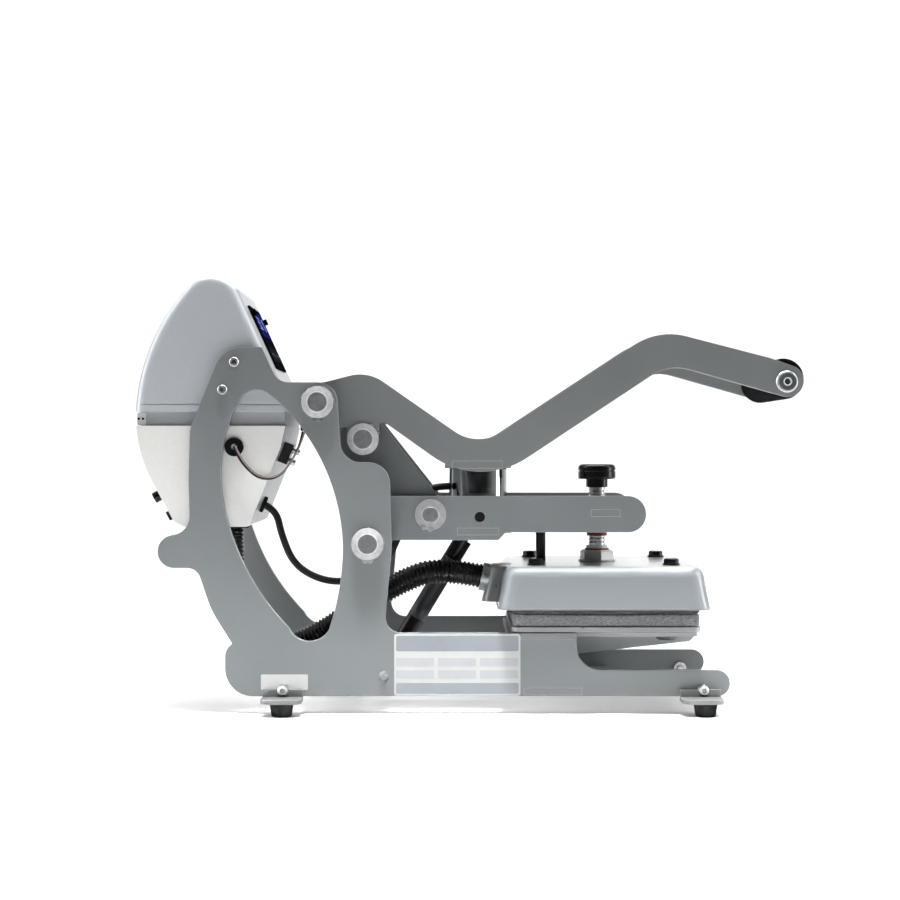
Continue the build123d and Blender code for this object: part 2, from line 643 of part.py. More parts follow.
THREAD_PITCH = 3.0
THREAD_DEPTH = 1.0
SCREW_FROM = 118.6
THREAD_FROM = 131.0
THREAD_COUNT = 15
thread = [(0, SCREW_FROM), (SCREW_R, SCREW_FROM), (SCREW_R, THREAD_FROM)]
for turn in range(THREAD_COUNT):
    z = THREAD_FROM + turn * THREAD_PITCH
    thread += [(SCREW_R - THREAD_DEPTH, z + 1.0), (SCREW_R, z + 2.0), (SCREW_R, z + THREAD_PITCH)]
thread += [(SCREW_R, HUB_BOTTOM), (0, HUB_BOTTOM)]
with BuildPart() as pressure_screw:
    with BuildSketch(Plane(origin=(PLATEN_X, 0, 0), x_dir=(1, 0, 0), z_dir=(0, -1, 0))):
        with BuildLine():
            Polyline(*thread, close=True)
        make_face()
    revolve(axis=Axis((PLATEN_X, 0, 0), (0, 0, 1)))
save(pressure_screw.part, "pressure_screw")

# Heater hose: its gland on the cover, then the ribbed conduit down and back to the controller
HOSE_Y = -28.0
HOSE_R = 10.0
HOSE_ROOT_R = 8.9
HOSE_BORE = 7.6
RIB_PITCH = 3.3
GLAND_TILT = 12.0
GLAND = (13.0, 104.5)
COLLAR_R = 11.4
gland_x = -math.cos(math.radians(GLAND_TILT))
gland_z = math.sin(math.radians(GLAND_TILT))
gland_plane = Plane(origin=(GLAND[0], HOSE_Y, GLAND[1]), x_dir=(0, 1, 0), z_dir=(gland_x, 0, gland_z))

with BuildPart() as hose_gland:
    with BuildSketch(Plane.XY.offset(85.6)):
        with Locations((24.0, HOSE_Y)):
            RectangleRounded(28.0, 34.0, 9)
    with BuildSketch(Plane.XY.offset(115.6)):
        with Locations((27.5, HOSE_Y)):
            RectangleRounded(21.0, 28.0, 9)
    loft()
    fillet(hose_gland.faces().sort_by(Axis.Z)[-1].edges(), 4)
    with BuildSketch(gland_plane.offset(-6.0)):
        Circle(COLLAR_R)
    extrude(amount=9.5)
    with BuildSketch(gland_plane):
        Circle(HOSE_R + 0.15)
    extrude(amount=8.0, mode=Mode.SUBTRACT)
    add(platen_cover.part, mode=Mode.SUBTRACT)
    with Locations((PLATEN_X, 0, COVER_BOTTOM)):
        Box(CAVITY, CAVITY, 2 * (CAVITY_TOP - COVER_BOTTOM), mode=Mode.SUBTRACT)
save(hose_gland.part, "hose_gland")

BOX_BOTTOM = 147.0
HOSE_ROUTE = [
    (GLAND[0], GLAND[1]), (GLAND[0] + 38 * gland_x, GLAND[1] + 38 * gland_z), (-57.0, 100.5),
    (-89.0, 80.5), (-118.0, 60.0), (-146.0, 47.5), (-172.0, 52.0), (-188.5, 74.0), (-193.0, 106.0),
    (-193.0, BOX_BOTTOM),
]


def arc_radii(points, share=0.45):
    """The radius at each inner point, so that every arc takes this share of its shorter run."""
    radii = []
    for before, here, after in zip(points, points[1:], points[2:]):
        back = Vector(*before) - Vector(*here)
        ahead = Vector(*after) - Vector(*here)
        half_turn = math.radians(180 - back.get_angle(ahead)) / 2
        radii.append(share * min(back.length, ahead.length) / math.tan(half_turn))
    return radii


def report_tube(name, solid_volume, section, wire, radii):
    """Print a route's length and radii, and its volume against section times length."""
    ratio = solid_volume / (section * wire.length)
    print(name, "length", round(wire.length, 1), "radii", [round(r) for r in radii], "ratio", round(ratio, 4))


def tube(name, points, radius):
    """A plain round cable along straight runs and tangent arcs."""
    radii = arc_radii(points)
    with BuildPart() as cable:
        with BuildLine() as route:
            FilletPolyline(points, radius=radii)
        start = route.wire()
        with BuildSketch(Plane(origin=start @ 0, z_dir=start % 0)):
            Circle(radius)
        sweep()
    report_tube(name, cable.part.volume, math.pi * radius ** 2, start, radii)
    return cable.part


hose_points = [(x, HOSE_Y, z) for x, z in HOSE_ROUTE]
hose_radii = arc_radii(hose_points)
with BuildLine() as hose_line:
    FilletPolyline(hose_points, radius=hose_radii)
hose_wire = hose_line.wire()
RIB_COUNT = int(hose_wire.length / RIB_PITCH)
rib_step = hose_wire.length / RIB_COUNT
RIB_SHAPE = [(0.0, HOSE_ROOT_R), (0.25, HOSE_ROOT_R), (0.45, HOSE_R), (0.8, HOSE_R)]


def hose_section(distance):
    """A plane square to the hose, whose X axis always lies across the press."""
    here = hose_wire.position_at(distance, position_mode=PositionMode.LENGTH)
    ahead = hose_wire.tangent_at(distance, position_mode=PositionMode.LENGTH)
    return Plane(origin=here, x_dir=(0, 1, 0), z_dir=ahead)


with BuildPart() as hose_core:
    with BuildSketch(hose_section(0)):
        Circle(HOSE_BORE)
    sweep(path=hose_wire)
with BuildPart() as heater_hose:
    for rib in range(RIB_COUNT):
        for share, radius in RIB_SHAPE:
            with BuildSketch(hose_section((rib + share) * rib_step)):
                Circle(radius)
    with BuildSketch(hose_section(hose_wire.length)):
        Circle(HOSE_ROOT_R)
    loft(ruled=True)
    add(hose_core.part, mode=Mode.SUBTRACT)
flanks = 0.4 * (HOSE_R ** 2 + HOSE_R * HOSE_ROOT_R + HOSE_ROOT_R ** 2) / 3
mean_section = math.pi * (0.25 * HOSE_ROOT_R ** 2 + 0.35 * HOSE_R ** 2 + flanks - HOSE_BORE ** 2)
report_tube("heater_hose", heater_hose.part.volume, mean_section, hose_wire, hose_radii)
print("heater_hose ribs", RIB_COUNT)
save(heater_hose.part, "heater_hose")

# Controller: a slanted upper housing over a bare tray, held between the side plates
BOX_HALF = 69.4
BOX_SEAM = 238.0
TRAY_TOP = 227.0
FACE_TOP = (-184.5, 335.5)
FACE_END = (-140.0, BOX_SEAM)
BOX_BACK = -265.7
BOX_WALL = 3.0


def housing_edge():
    """The housing from the side: back and crown as arcs, then the straight slanted face."""
    ThreePointArc((BOX_BACK, BOX_SEAM), (-251.3, 297.0), (-222.0, 340.5))
    ThreePointArc((-222.0, 340.5), (-203.0, 346.6), FACE_TOP)
    Polyline(FACE_TOP, FACE_END, (BOX_BACK, BOX_SEAM))


with BuildPart() as housing:
    with BuildSketch(side_plane(BOX_HALF)):
        with BuildLine():
            housing_edge()
        make_face()
    extrude(amount=2 * BOX_HALF)
    rims = housing.faces().filter_by(Axis.Y).edges().filter_by(lambda e: e.center().Z > BOX_SEAM + 1)
    fillet(rims, 8)
    with BuildSketch(side_plane(BOX_HALF - 4.0)):
        with BuildLine():
            housing_edge()
        make_face()
        offset(amount=-BOX_WALL, kind=Kind.INTERSECTION)
    extrude(amount=2 * BOX_HALF - 8.0, mode=Mode.SUBTRACT)
    with Locations((-204.1, 0, BOX_SEAM)):
        Box(117.0, 2 * (BOX_HALF - BOX_WALL), 4 * BOX_WALL, mode=Mode.SUBTRACT)
    for side in (-1, 1):
        with Locations((-205.0, side * BOX_HALF, 244.0)):
            Box(150.0, 1.4, 1.0, mode=Mode.SUBTRACT)
        for x, z in HOUSING_SCREWS:
            with Locations((x, side * (BOX_HALF - 1), z)):
                Cylinder(2.3, 8, rotation=(90, 0, 0), mode=Mode.SUBTRACT)
save(housing.part, "controller_housing")

REAR_TOP = (-253.0, 186.0)
REAR_END = (-234.0, 151.0)
FRONT_LOW = (-175.0, BOX_BOTTOM)
FRONT_HIGH = (-149.5, 210.5)


def tray_edge():
    """The tray from the side: curved back, slanted rear face, flat floor, slanted front."""
    ThreePointArc((-264.2, TRAY_TOP), (-260.5, 206.0), REAR_TOP)
    Polyline(REAR_TOP, REAR_END, (-226.0, BOX_BOTTOM), FRONT_LOW, FRONT_HIGH, (-146.0, TRAY_TOP), (-264.2, TRAY_TOP))


rear_x = REAR_END[0] - REAR_TOP[0]
rear_z = REAR_END[1] - REAR_TOP[1]
rear_run = math.hypot(rear_x, rear_z)


def rear_plane(z, y):
    """A plane on the tray's slanted rear face: local X across the press, Z outwards."""
    share = (REAR_TOP[1] - z) / (REAR_TOP[1] - REAR_END[1])
    origin = (REAR_TOP[0] + share * rear_x, y, z)
    return Plane(origin=origin, x_dir=(0, 1, 0), z_dir=(rear_z / rear_run, 0, -rear_x / rear_run))


TRAY_WALL = 2.5
LIP_INSET = 3.2
LIP_TOP = 243.0
INLET = rear_plane(168.5, 24.0)
INLET_HOLE = (27.0, 20.0)
with BuildPart() as tray:
    with BuildSketch(side_plane(BOX_HALF)) as outer:
        with BuildLine():
            tray_edge()
        make_face()
        fillet(outer.vertices().filter_by(lambda v: v.Y < TRAY_TOP - 1), 4)
    extrude(amount=2 * BOX_HALF)
    with BuildSketch(Plane.XY.offset(TRAY_TOP)):
        with Locations((-203.5, 0)):
            Rectangle(114.0, 2 * (BOX_HALF - LIP_INSET))
    extrude(amount=LIP_TOP - TRAY_TOP)
    with BuildSketch(side_plane(BOX_HALF - TRAY_WALL)) as inner:
        with BuildLine():
            tray_edge()
        make_face()
        fillet(inner.vertices().filter_by(lambda v: v.Y < TRAY_TOP - 1), 4)
        offset(amount=-TRAY_WALL, kind=Kind.INTERSECTION)
    extrude(amount=2 * (BOX_HALF - TRAY_WALL), mode=Mode.SUBTRACT)
    with Locations((-203.5, 0, LIP_TOP)):
        Box(114.0 - 2 * TRAY_WALL, 2 * (BOX_HALF - LIP_INSET - TRAY_WALL), 2 * 20.0, mode=Mode.SUBTRACT)
    with BuildSketch(INLET):
        Rectangle(*INLET_HOLE)
    extrude(amount=-5.0, mode=Mode.SUBTRACT)
save(tray.part, "controller_tray")

# Touch panel and display on the slanted face
face_x = FACE_END[0] - FACE_TOP[0]
face_z = FACE_END[1] - FACE_TOP[1]
face_run = math.hypot(face_x, face_z)
PANEL_Z = 299.0
panel_x = FACE_TOP[0] + (FACE_TOP[1] - PANEL_Z) / (FACE_TOP[1] - FACE_END[1]) * face_x
panel_plane = Plane(
    origin=(panel_x, 0, PANEL_Z), x_dir=(0, 1, 0), z_dir=(-face_z / face_run, 0, face_x / face_run)
)
PANEL_T = 1.4
DISPLAY = (62.0, 24.0)
DISPLAY_UP = 13.0
DISPLAY_SEAT = 0.6
with BuildPart() as control_panel:
    with BuildSketch(panel_plane):
        RectangleRounded(82.0, 55.6, 2)
    extrude(amount=PANEL_T)
    with BuildSketch(panel_plane.offset(DISPLAY_SEAT)):
        with Locations((0, DISPLAY_UP)):
            Rectangle(*DISPLAY)
    extrude(amount=1.0, mode=Mode.SUBTRACT)
    with BuildSketch(panel_plane):
        with Locations((-37.0, 21.0), (37.0, 17.5)):
            RectangleRounded(4.0, 5.0, 1)
    extrude(amount=4.4)
save(control_panel.part, "control_panel")

with BuildPart() as display_window:
    with BuildSketch(panel_plane.offset(DISPLAY_SEAT)):
        with Locations((0, DISPLAY_UP)):
            Rectangle(DISPLAY[0] - 0.1, DISPLAY[1] - 0.1)
    extrude(amount=0.9)
save(display_window.part, "display_window")

# Power fittings on the rear face: socket, rocker frame and breaker collar
ROCKER = rear_plane(157.0, -44.0)
BREAKER = rear_plane(173.2, -44.0)
ROCKER_SIZE = (17.0, 7.6)
BREAKER_R = 4.4
with BuildPart() as inlet:
    with BuildSketch(INLET):
        RectangleRounded(31.0, 24.0, 3)
    extrude(amount=2.5)
    with BuildSketch(INLET):
        Rectangle(INLET_HOLE[0] - 0.1, INLET_HOLE[1] - 0.1)
    extrude(amount=-16.0)
    with BuildSketch(INLET.offset(2.5)):
        with BuildLine():
            FilletPolyline(
                (-12.0, -8.0), (12.0, -8.0), (12.0, 4.0), (8.0, 8.0), (-8.0, 8.0), (-12.0, 4.0),
                radius=1.0, close=True,
            )
        make_face()
    extrude(amount=-16.5, mode=Mode.SUBTRACT)
    with BuildSketch(INLET.offset(-14.0)):
        with Locations((-7.0, -1.5), (7.0, -1.5), (0, 2.5)):
            Rectangle(2.0, 5.0)
    extrude(amount=12.0)

with BuildPart() as rocker_frame:
    with BuildSketch(ROCKER):
        RectangleRounded(21.0, 11.0, 1.5)
        Rectangle(ROCKER_SIZE[0] + 0.6, ROCKER_SIZE[1] + 0.6, mode=Mode.SUBTRACT)
    extrude(amount=1.6)

with BuildPart() as breaker_collar:
    with BuildSketch(BREAKER):
        Circle(6.4)
        Circle(BREAKER_R + 0.1, mode=Mode.SUBTRACT)
    extrude(amount=2.2)
    chamfer(breaker_collar.edges().filter_by(lambda e: e.length > 38).sort_by(Axis.X)[0], 0.5)
save_set([inlet.part, rocker_frame.part, breaker_collar.part], "power_fittings")

# The rocker turns on a round hub. It rests pressed down at one end.
ROCKER_TILT = 7.0
ROCKER_T = 2.6
ROCKER_HUB_R = 1.5
rocker_axis = ROCKER.offset(1.7)
with BuildPart(Plane(rocker_axis.location * Rotation(0, ROCKER_TILT, 0))) as rocker:
    with Locations((0, 0, 1.1)):
        Box(*ROCKER_SIZE, ROCKER_T)
    Cylinder(ROCKER_HUB_R, ROCKER_SIZE[1], rotation=(90, 0, 0))
save(rocker.part, "power_switch")
print("rocker axis through", rocker_axis.origin, "along", ROCKER.y_dir)

with BuildPart() as breaker_button:
    with BuildSketch(BREAKER.offset(2.0)):
        Circle(BREAKER_R)
    extrude(amount=6.6)
save(breaker_button.part, "breaker_button")
print("breaker axis", BREAKER.z_dir)

# Rubber grommets, the hose collar, the sensing switch and the terminal block
front_x = FRONT_HIGH[0] - FRONT_LOW[0]
front_z = FRONT_HIGH[1] - FRONT_LOW[1]
front_run = math.hypot(front_x, front_z)


def front_plane(z, y):
    """A plane on the tray's slanted front face: local X across the press, Z outwards."""
    share = (z - FRONT_LOW[1]) / front_z
    origin = (FRONT_LOW[0] + share * front_x, y, z)
    return Plane(origin=origin, x_dir=(0, 1, 0), z_dir=(front_z / front_run, 0, -front_x / front_run))


CABLE_R = 2.9
CABLE_Y = -30.0
CABLE_EXIT = front_plane(164.0, CABLE_Y)
WIRE_EXIT = (-186.4, -BOX_HALF, 210.2)
GROMMET_T = 2.4


def grommet(plane, radius, bore):
    with BuildPart() as ring:
        with BuildSketch(plane):
            Circle(radius)
            Circle(bore, mode=Mode.SUBTRACT)
        extrude(amount=GROMMET_T)
    return ring.part


wire_grommet = grommet(Plane(origin=WIRE_EXIT, x_dir=(1, 0, 0), z_dir=(0, -1, 0)), 7.4, 2.6)
cable_grommet = grommet(CABLE_EXIT, 6.6, CABLE_R + 0.05)
hose_collar = grommet(Plane(origin=(-193.0, HOSE_Y, BOX_BOTTOM), z_dir=(0, 0, -1)), 13.5, HOSE_R + 0.2)
save_set([wire_grommet, cable_grommet, hose_collar], "grommets")

SENSOR = (-124.0, 227.5)
with BuildPart() as sensor_switch:
    with Locations((SENSOR[0], -66.9, SENSOR[1])):
        Box(20.0, 6.2, 9.0)
    with Locations((SENSOR[0] + 4, -66.9, SENSOR[1] + 5.2)):
        Box(3.0, 3.0, 1.4)
save(sensor_switch.part, "sensor_switch")

BLOCK = front_plane(206.7, -42.0)
BLOCK_T = 7.8
with BuildPart() as terminal_block:
    with BuildSketch(BLOCK):
        Rectangle(15.0, 16.7)
    extrude(amount=BLOCK_T)
    with BuildSketch(BLOCK.offset(BLOCK_T)):
        with Locations((0, 4.2), (0, -5.0)):
            Circle(2.5)
    extrude(amount=5.6)
save(terminal_block.part, "terminal_block")

# Magnet cable and the thin sensing wires, each whole along its route
exit_way = CABLE_EXIT.z_dir
cable_start = CABLE_EXIT.origin + exit_way * 0.2
cable_knee = CABLE_EXIT.origin + exit_way * 12.0
CABLE_ROUTE = [
    tuple(cable_start), tuple(cable_knee), (-152.5, CABLE_Y, 138.0), (-142.0, CABLE_Y, 113.5),
    (-117.0, CABLE_Y, 100.5), (-91.0, CABLE_Y, 102.0), (-67.5, -28.0, 116.0), (-56.0, -24.0, 141.0),
    (-47.5, -18.0, 168.0), (-31.0, -14.0, 178.0), (-15.0, -12.0, 178.0),
]
save(tube("magnet_cable", CABLE_ROUTE, CABLE_R), "magnet_cable")

WIRE_R = 0.8
WIRE_ROUTE = [
    (-186.4, -70.2, 210.2), (-186.0, -73.8, 208.8), (-179.5, -74.4, 196.5), (-166.0, -73.0, 184.0),
    (-150.0, -70.0, 186.0), (-140.0, -67.6, 201.0), (-134.0, -66.9, 214.0), (-132.6, -66.9, 222.7),
]
WIRE_GAP = 1.7
pair = [WIRE_ROUTE, [(x + 0.6 * WIRE_GAP, y, z + 0.8 * WIRE_GAP) for x, y, z in WIRE_ROUTE[:-1]]]
pair[1].append((WIRE_ROUTE[-1][0] + WIRE_GAP, WIRE_ROUTE[-1][1], WIRE_ROUTE[-1][2]))
save_set([tube("sensor wire", route, WIRE_R) for route in pair], "sensor_wires")
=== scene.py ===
# %% [markdown]
# A small clamshell heat press. Its CAD model is the frame for everything here: each plate, pin and
# casting comes from it, in metres, already in place. This file gives every one of them its finish, and
# models again what steel working software draws stiffly: the sponge pad, the ribbed hose and the cables.

# %% Load the frame
import math

import bmesh
import bpy
import numpy as np
from mathutils import Matrix, Vector


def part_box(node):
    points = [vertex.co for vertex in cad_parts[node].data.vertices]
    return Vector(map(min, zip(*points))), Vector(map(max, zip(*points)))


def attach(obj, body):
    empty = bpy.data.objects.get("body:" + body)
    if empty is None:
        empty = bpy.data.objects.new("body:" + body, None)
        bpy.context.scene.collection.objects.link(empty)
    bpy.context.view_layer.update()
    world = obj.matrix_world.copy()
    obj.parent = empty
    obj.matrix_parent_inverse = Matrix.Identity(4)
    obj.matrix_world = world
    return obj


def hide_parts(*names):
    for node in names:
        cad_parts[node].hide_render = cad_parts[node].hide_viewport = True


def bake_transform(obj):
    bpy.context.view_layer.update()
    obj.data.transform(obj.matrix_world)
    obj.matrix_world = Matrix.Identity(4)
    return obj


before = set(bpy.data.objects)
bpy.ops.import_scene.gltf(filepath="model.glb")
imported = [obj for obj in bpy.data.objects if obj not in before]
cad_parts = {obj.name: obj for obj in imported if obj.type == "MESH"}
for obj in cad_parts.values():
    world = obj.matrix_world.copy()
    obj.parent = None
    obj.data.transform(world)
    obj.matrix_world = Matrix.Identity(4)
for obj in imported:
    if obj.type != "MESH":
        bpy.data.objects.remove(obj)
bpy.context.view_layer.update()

MM = 0.001

# %% [markdown]
# The photograph was taken square to the press, from far enough away that the near and far plates almost
# line up. A long lens at about one and a half metres, looking level, gives the same small offset between
# them. A short lens from nearby would spread them apart.

# %% Camera
camera_data = bpy.data.cameras.new("press_camera")
camera_data.lens = 72
camera_data.sensor_width = 36
camera = bpy.data.objects.new("press_camera", camera_data)
bpy.context.collection.objects.link(camera)
camera.location = Vector((-15.75, -1493.0, 207.8)) * MM
camera.rotation_euler = (math.radians(90), 0, 0)
bpy.context.scene.camera = camera
print("camera at", tuple(round(v, 3) for v in camera.location))

# %% [markdown]
# A node tree is easier to read when one line makes one node. One helper adds a node, sets its properties
# by name, and fills each socket with a number or with a link. A whole node, given as a value, stands for
# its first output. Colours are written as sRGB hex, as a paint chart gives them, and Blender's shaders
# want linear light, so another helper converts them. A noise texture rarely leaves the span from 0.3 to
# 0.7, so a MapRange node that should use its whole output range starts from that span.

# %% Helpers for materials
NOISE_SPAN = {"From Min": 0.3, "From Max": 0.7}


def linear(hex_colour):
    """An sRGB colour such as 8a8f90 as linear red, green, blue and alpha."""
    channels = [int(hex_colour[i:i + 2], 16) / 255 for i in (0, 2, 4)]
    return tuple(c / 12.92 if c <= 0.04045 else ((c + 0.055) / 1.055) ** 2.4 for c in channels) + (1.0,)


def feed(tree, node, sockets):
    """Put a value or a link in each named socket of a node."""
    for name, value in sockets.items():
        if isinstance(value, bpy.types.Node):
            value = value.outputs[0]
        if isinstance(value, bpy.types.NodeSocket):
            tree.links.new(value, node.inputs[name])
        else:
            node.inputs[name].default_value = value
    return node


def add(tree, kind, sockets=None, **settings):
    """Add a node, with its settings and its filled sockets."""
    node = tree.nodes.new(kind)
    for name, value in settings.items():
        setattr(node, name, value)
    return feed(tree, node, sockets or {})


def new_finish(name, constants):
    """An empty material with its shader, whose fixed values sit on the shader's own sockets."""
    material = bpy.data.materials.new(name)
    material.use_nodes = True
    tree = material.node_tree
    surface = feed(tree, tree.nodes["Principled BSDF"], constants)
    place = add(tree, "ShaderNodeTexCoord").outputs["Object"]
    return material, tree, surface, place


def per_mm(size):
    """The texture scale for a pattern whose features are this many millimetres apart."""
    return 1.0 / (size * MM)


print("mid grey in linear light", [round(c, 3) for c in linear("808080")[:3]])

# %% [markdown]
# Powder coat is dry polyester powder baked onto the steel. It flows into a closed satin film with a
# faint orange peel, and pulls back a little from sharp laser cut edges. The edges are painted paler:
# partly that thinner film, mostly a painted highlight. The peel is really about half a millimetre apart.
# It is drawn at twice that, so that it shows at all. The edge is found with a Bevel node: where the
# rounded normal leaves the flat one, there is an edge.

# %% Powder coat and paint
# The edge mask marks where a painted highlight goes, with a little wear.
def edge_wear_and_highlight(tree, edge_mm, flat_enough, full_at, amount):
    """A rounded normal, and a mask of the edges. Both limits are cosines between the two normals."""
    flat = add(tree, "ShaderNodeNewGeometry").outputs["Normal"]
    rounded = add(tree, "ShaderNodeBevel", {"Radius": edge_mm * MM}, samples=4)
    turn = add(tree, "ShaderNodeVectorMath", {0: flat, 1: rounded}, operation="DOT_PRODUCT")
    edge = add(tree, "ShaderNodeMapRange", {
        "Value": turn.outputs["Value"], "From Min": flat_enough, "From Max": full_at, "To Max": amount})
    return rounded, edge


def powder_coat(name, colour, edge_colour, rough=0.46, peel_mm=1.1, edge_mm=0.7):
    material, tree, surface, place = new_finish(name, {"IOR": 1.5})
    broad = add(tree, "ShaderNodeTexNoise", {"Vector": place, "Scale": per_mm(70), "Detail": 3.0})
    fine = add(tree, "ShaderNodeTexNoise", {"Vector": place, "Scale": per_mm(peel_mm), "Detail": 2.0})
    rounded, edge = edge_wear_and_highlight(tree, edge_mm, 0.995, 0.80, 0.75)
    shade = add(tree, "ShaderNodeMapRange", {
        "Value": broad, **NOISE_SPAN, "To Min": 0.95, "To Max": 1.04})
    speck = add(tree, "ShaderNodeMapRange", {
        "Value": fine, **NOISE_SPAN, "To Min": 0.985, "To Max": 1.015})
    tone = add(tree, "ShaderNodeMath", {0: shade, 1: speck}, operation="MULTIPLY")
    film = add(tree, "ShaderNodeVectorMath", {0: linear(colour)[:3], "Scale": tone}, operation="SCALE")
    # Painted highlight: the edges are mixed towards the paler edge colour, with the thinner film there.
    coat = add(tree, "ShaderNodeMix", {0: edge, 6: film, 7: linear(edge_colour)}, data_type="RGBA")
    gloss = add(tree, "ShaderNodeMapRange", {
        "Value": broad, "To Min": rough - 0.06, "To Max": rough + 0.06})
    peel = add(tree, "ShaderNodeBump", {
        "Height": fine, "Normal": rounded, "Strength": 0.25, "Distance": 0.06 * MM})
    feed(tree, surface, {"Base Color": coat.outputs[2], "Roughness": gloss, "Normal": peel})
    return material


plate_grey = powder_coat("powder_coated_plate", "75797b", "c6cacb")
# The link's coat is a darker copy of the plate's, painted shade for its place between the arms.
link_painted_shade_grey = powder_coat("powder_coated_link_painted_shade", "65696a", "c6cacb", rough=0.5)
# The carrier's coat is a paler copy of the plate's, painted light for its place in the shade under the
# platen.
carrier_painted_light_grey = powder_coat("powder_coated_carrier_painted_light", "a9adae", "c4c7c8")
print("made", plate_grey.name, link_painted_shade_grey.name, carrier_painted_light_grey.name)

# %% [markdown]
# The head's casting and the controller housing wear silver lacquer. It is a clear film over small
# aluminium flakes, so it shines more sharply than powder coat and glitters very slightly. A little
# Metallic gives the flakes, and a thin coat layer gives the film. A casting is never quite flat, so a
# long soft wave goes under the finer flake bump. The tray's upstanding lip is greyer than its sides. On
# the housing and the tray, faces that look forward or back are painted darker, as painted shade. So the
# lacquer changes colour where a face looks back or forward, and again above a height.

# %% Silver lacquer
def silver_lacquer(name, side, rough, wave_depth, coat, lip=None, front_shade=None, back_shade=None,
                   lip_mm=227.0, flake_mm=1.0, edge_mm=0.6):
    material, tree, surface, place = new_finish(name, {
        "Metallic": 0.08, "Specular IOR Level": 0.3, "Coat Weight": coat, "Coat Roughness": 0.16})
    normal = add(tree, "ShaderNodeTexCoord").outputs["Normal"]
    facing = add(tree, "ShaderNodeSeparateXYZ", {0: normal}).outputs["X"]
    height = add(tree, "ShaderNodeSeparateXYZ", {0: place}).outputs["Z"]
    paint = linear(side)
    # Faces that look back or forward take painted shade; above a height the lip is greyer.
    for measure, start, full, colour in ((facing, -0.72, -0.88, back_shade), (facing, 0.72, 0.88, front_shade),
                                         (height, (lip_mm - 0.2) * MM, (lip_mm + 0.2) * MM, lip)):
        zone = add(tree, "ShaderNodeMapRange", {"Value": measure, "From Min": start, "From Max": full})
        paint = add(tree, "ShaderNodeMix", {
            0: zone, 6: paint, 7: linear(colour) if colour else paint}, data_type="RGBA").outputs[2]
    flakes = add(tree, "ShaderNodeTexNoise", {"Vector": place, "Scale": per_mm(flake_mm), "Detail": 1.0})
    wave = add(tree, "ShaderNodeTexNoise", {"Vector": place, "Scale": per_mm(22), "Detail": 1.0})
    glitter = add(tree, "ShaderNodeMapRange", {
        "Value": flakes, **NOISE_SPAN, "To Min": 0.975, "To Max": 1.025})
    film = add(tree, "ShaderNodeVectorMath", {0: paint, "Scale": glitter}, operation="SCALE")
    gloss = add(tree, "ShaderNodeMapRange", {
        "Value": wave, "To Min": rough - 0.05, "To Max": rough + 0.05})
    rounded = add(tree, "ShaderNodeBevel", {"Radius": edge_mm * MM}, samples=4)
    soft = add(tree, "ShaderNodeBump", {
        "Height": wave, "Normal": rounded, "Strength": 0.5, "Distance": wave_depth * MM})
    skin = add(tree, "ShaderNodeBump", {
        "Height": flakes, "Normal": soft, "Strength": 0.12, "Distance": 0.03 * MM})
    feed(tree, surface, {"Base Color": film, "Roughness": gloss, "Normal": skin})
    return material


cast_silver = silver_lacquer("silver_lacquered_casting", "75797c", 0.38, 0.25, 0.9)
housing_silver = silver_lacquer(
    "silver_lacquered_housing", "bfc4ca", 0.34, 0.12, 0.2, front_shade="84888c", back_shade="9da2a7")
tray_white = silver_lacquer(
    "pearl_coated_tray", "efefec", 0.40, 0.10, 0.1, lip="a9acaf", front_shade="8b8f92", back_shade="b0b3b4")
print("lacquers ready")

# %% [markdown]
# Screws, brackets, tubes and washers are bright zinc plated steel. Zinc is a little blue and a little
# cloudy, and handling leaves faint smears. Metal needs no IOR here: with Metallic at one, the base colour
# is the reflection's colour. A stretched noise makes the fine drawing lines of bar and sheet. Corners get
# a painted highlight with a little rubbed wear: the edge mask whitens them and lowers Metallic. Sockets
# and threads get painted shade, which an ambient occlusion node finds.

# %% Zinc plated steel
def bright_metal(name, colour, rough, metallic=1.0, streak=(1.0, 0.12, 1.0), cloud=0.10, line_mm=1.2,
                 edge_mm=0.35, recess_shade_from=0.15, recess_shade_to=0.75):
    material, tree, surface, place = new_finish(name, {"Metallic": 1.0})
    stretched = add(tree, "ShaderNodeVectorMath", {0: place, 1: streak}, operation="MULTIPLY")
    lines = add(tree, "ShaderNodeTexNoise", {
        "Vector": stretched, "Scale": per_mm(line_mm), "Detail": 2.0})
    smear = add(tree, "ShaderNodeTexNoise", {"Vector": place, "Scale": per_mm(14), "Detail": 3.0})
    tone = add(tree, "ShaderNodeMapRange", {
        "Value": smear, **NOISE_SPAN, "To Min": 1.0 - cloud, "To Max": 1.0})
    rounded, edge = edge_wear_and_highlight(tree, edge_mm, 0.99, 0.85, 0.8)
    # Painted shade: ambient occlusion darkens the colour in sockets and threads.
    recess = add(tree, "ShaderNodeAmbientOcclusion", {"Distance": 2.2 * MM}, samples=4).outputs["AO"]
    painted_recess_shade = add(tree, "ShaderNodeMapRange", {
        "Value": recess, "From Min": recess_shade_from, "From Max": recess_shade_to, "To Min": 0.2, "To Max": 1.0})
    shade = add(tree, "ShaderNodeMath", {0: tone, 1: painted_recess_shade}, operation="MULTIPLY")
    # Painted highlight: corners are whitened, with a little rubbed wear.
    rubbed_and_highlit = add(tree, "ShaderNodeMix", {
        0: edge, 6: linear(colour), 7: linear("e9eaeb")}, data_type="RGBA")
    skin = add(tree, "ShaderNodeVectorMath", {0: rubbed_and_highlit.outputs[2], "Scale": shade}, operation="SCALE")
    metal = add(tree, "ShaderNodeMapRange", {"Value": edge, "To Min": metallic, "To Max": 0.3})
    gloss = add(tree, "ShaderNodeMapRange", {
        "Value": smear, **NOISE_SPAN, "To Min": rough * 0.75, "To Max": rough * 1.3})
    drawn = add(tree, "ShaderNodeBump", {
        "Height": lines, "Normal": rounded, "Strength": 0.2, "Distance": 0.03 * MM})
    feed(tree, surface, {"Base Color": skin, "Metallic": metal, "Roughness": gloss, "Normal": drawn})
    return material


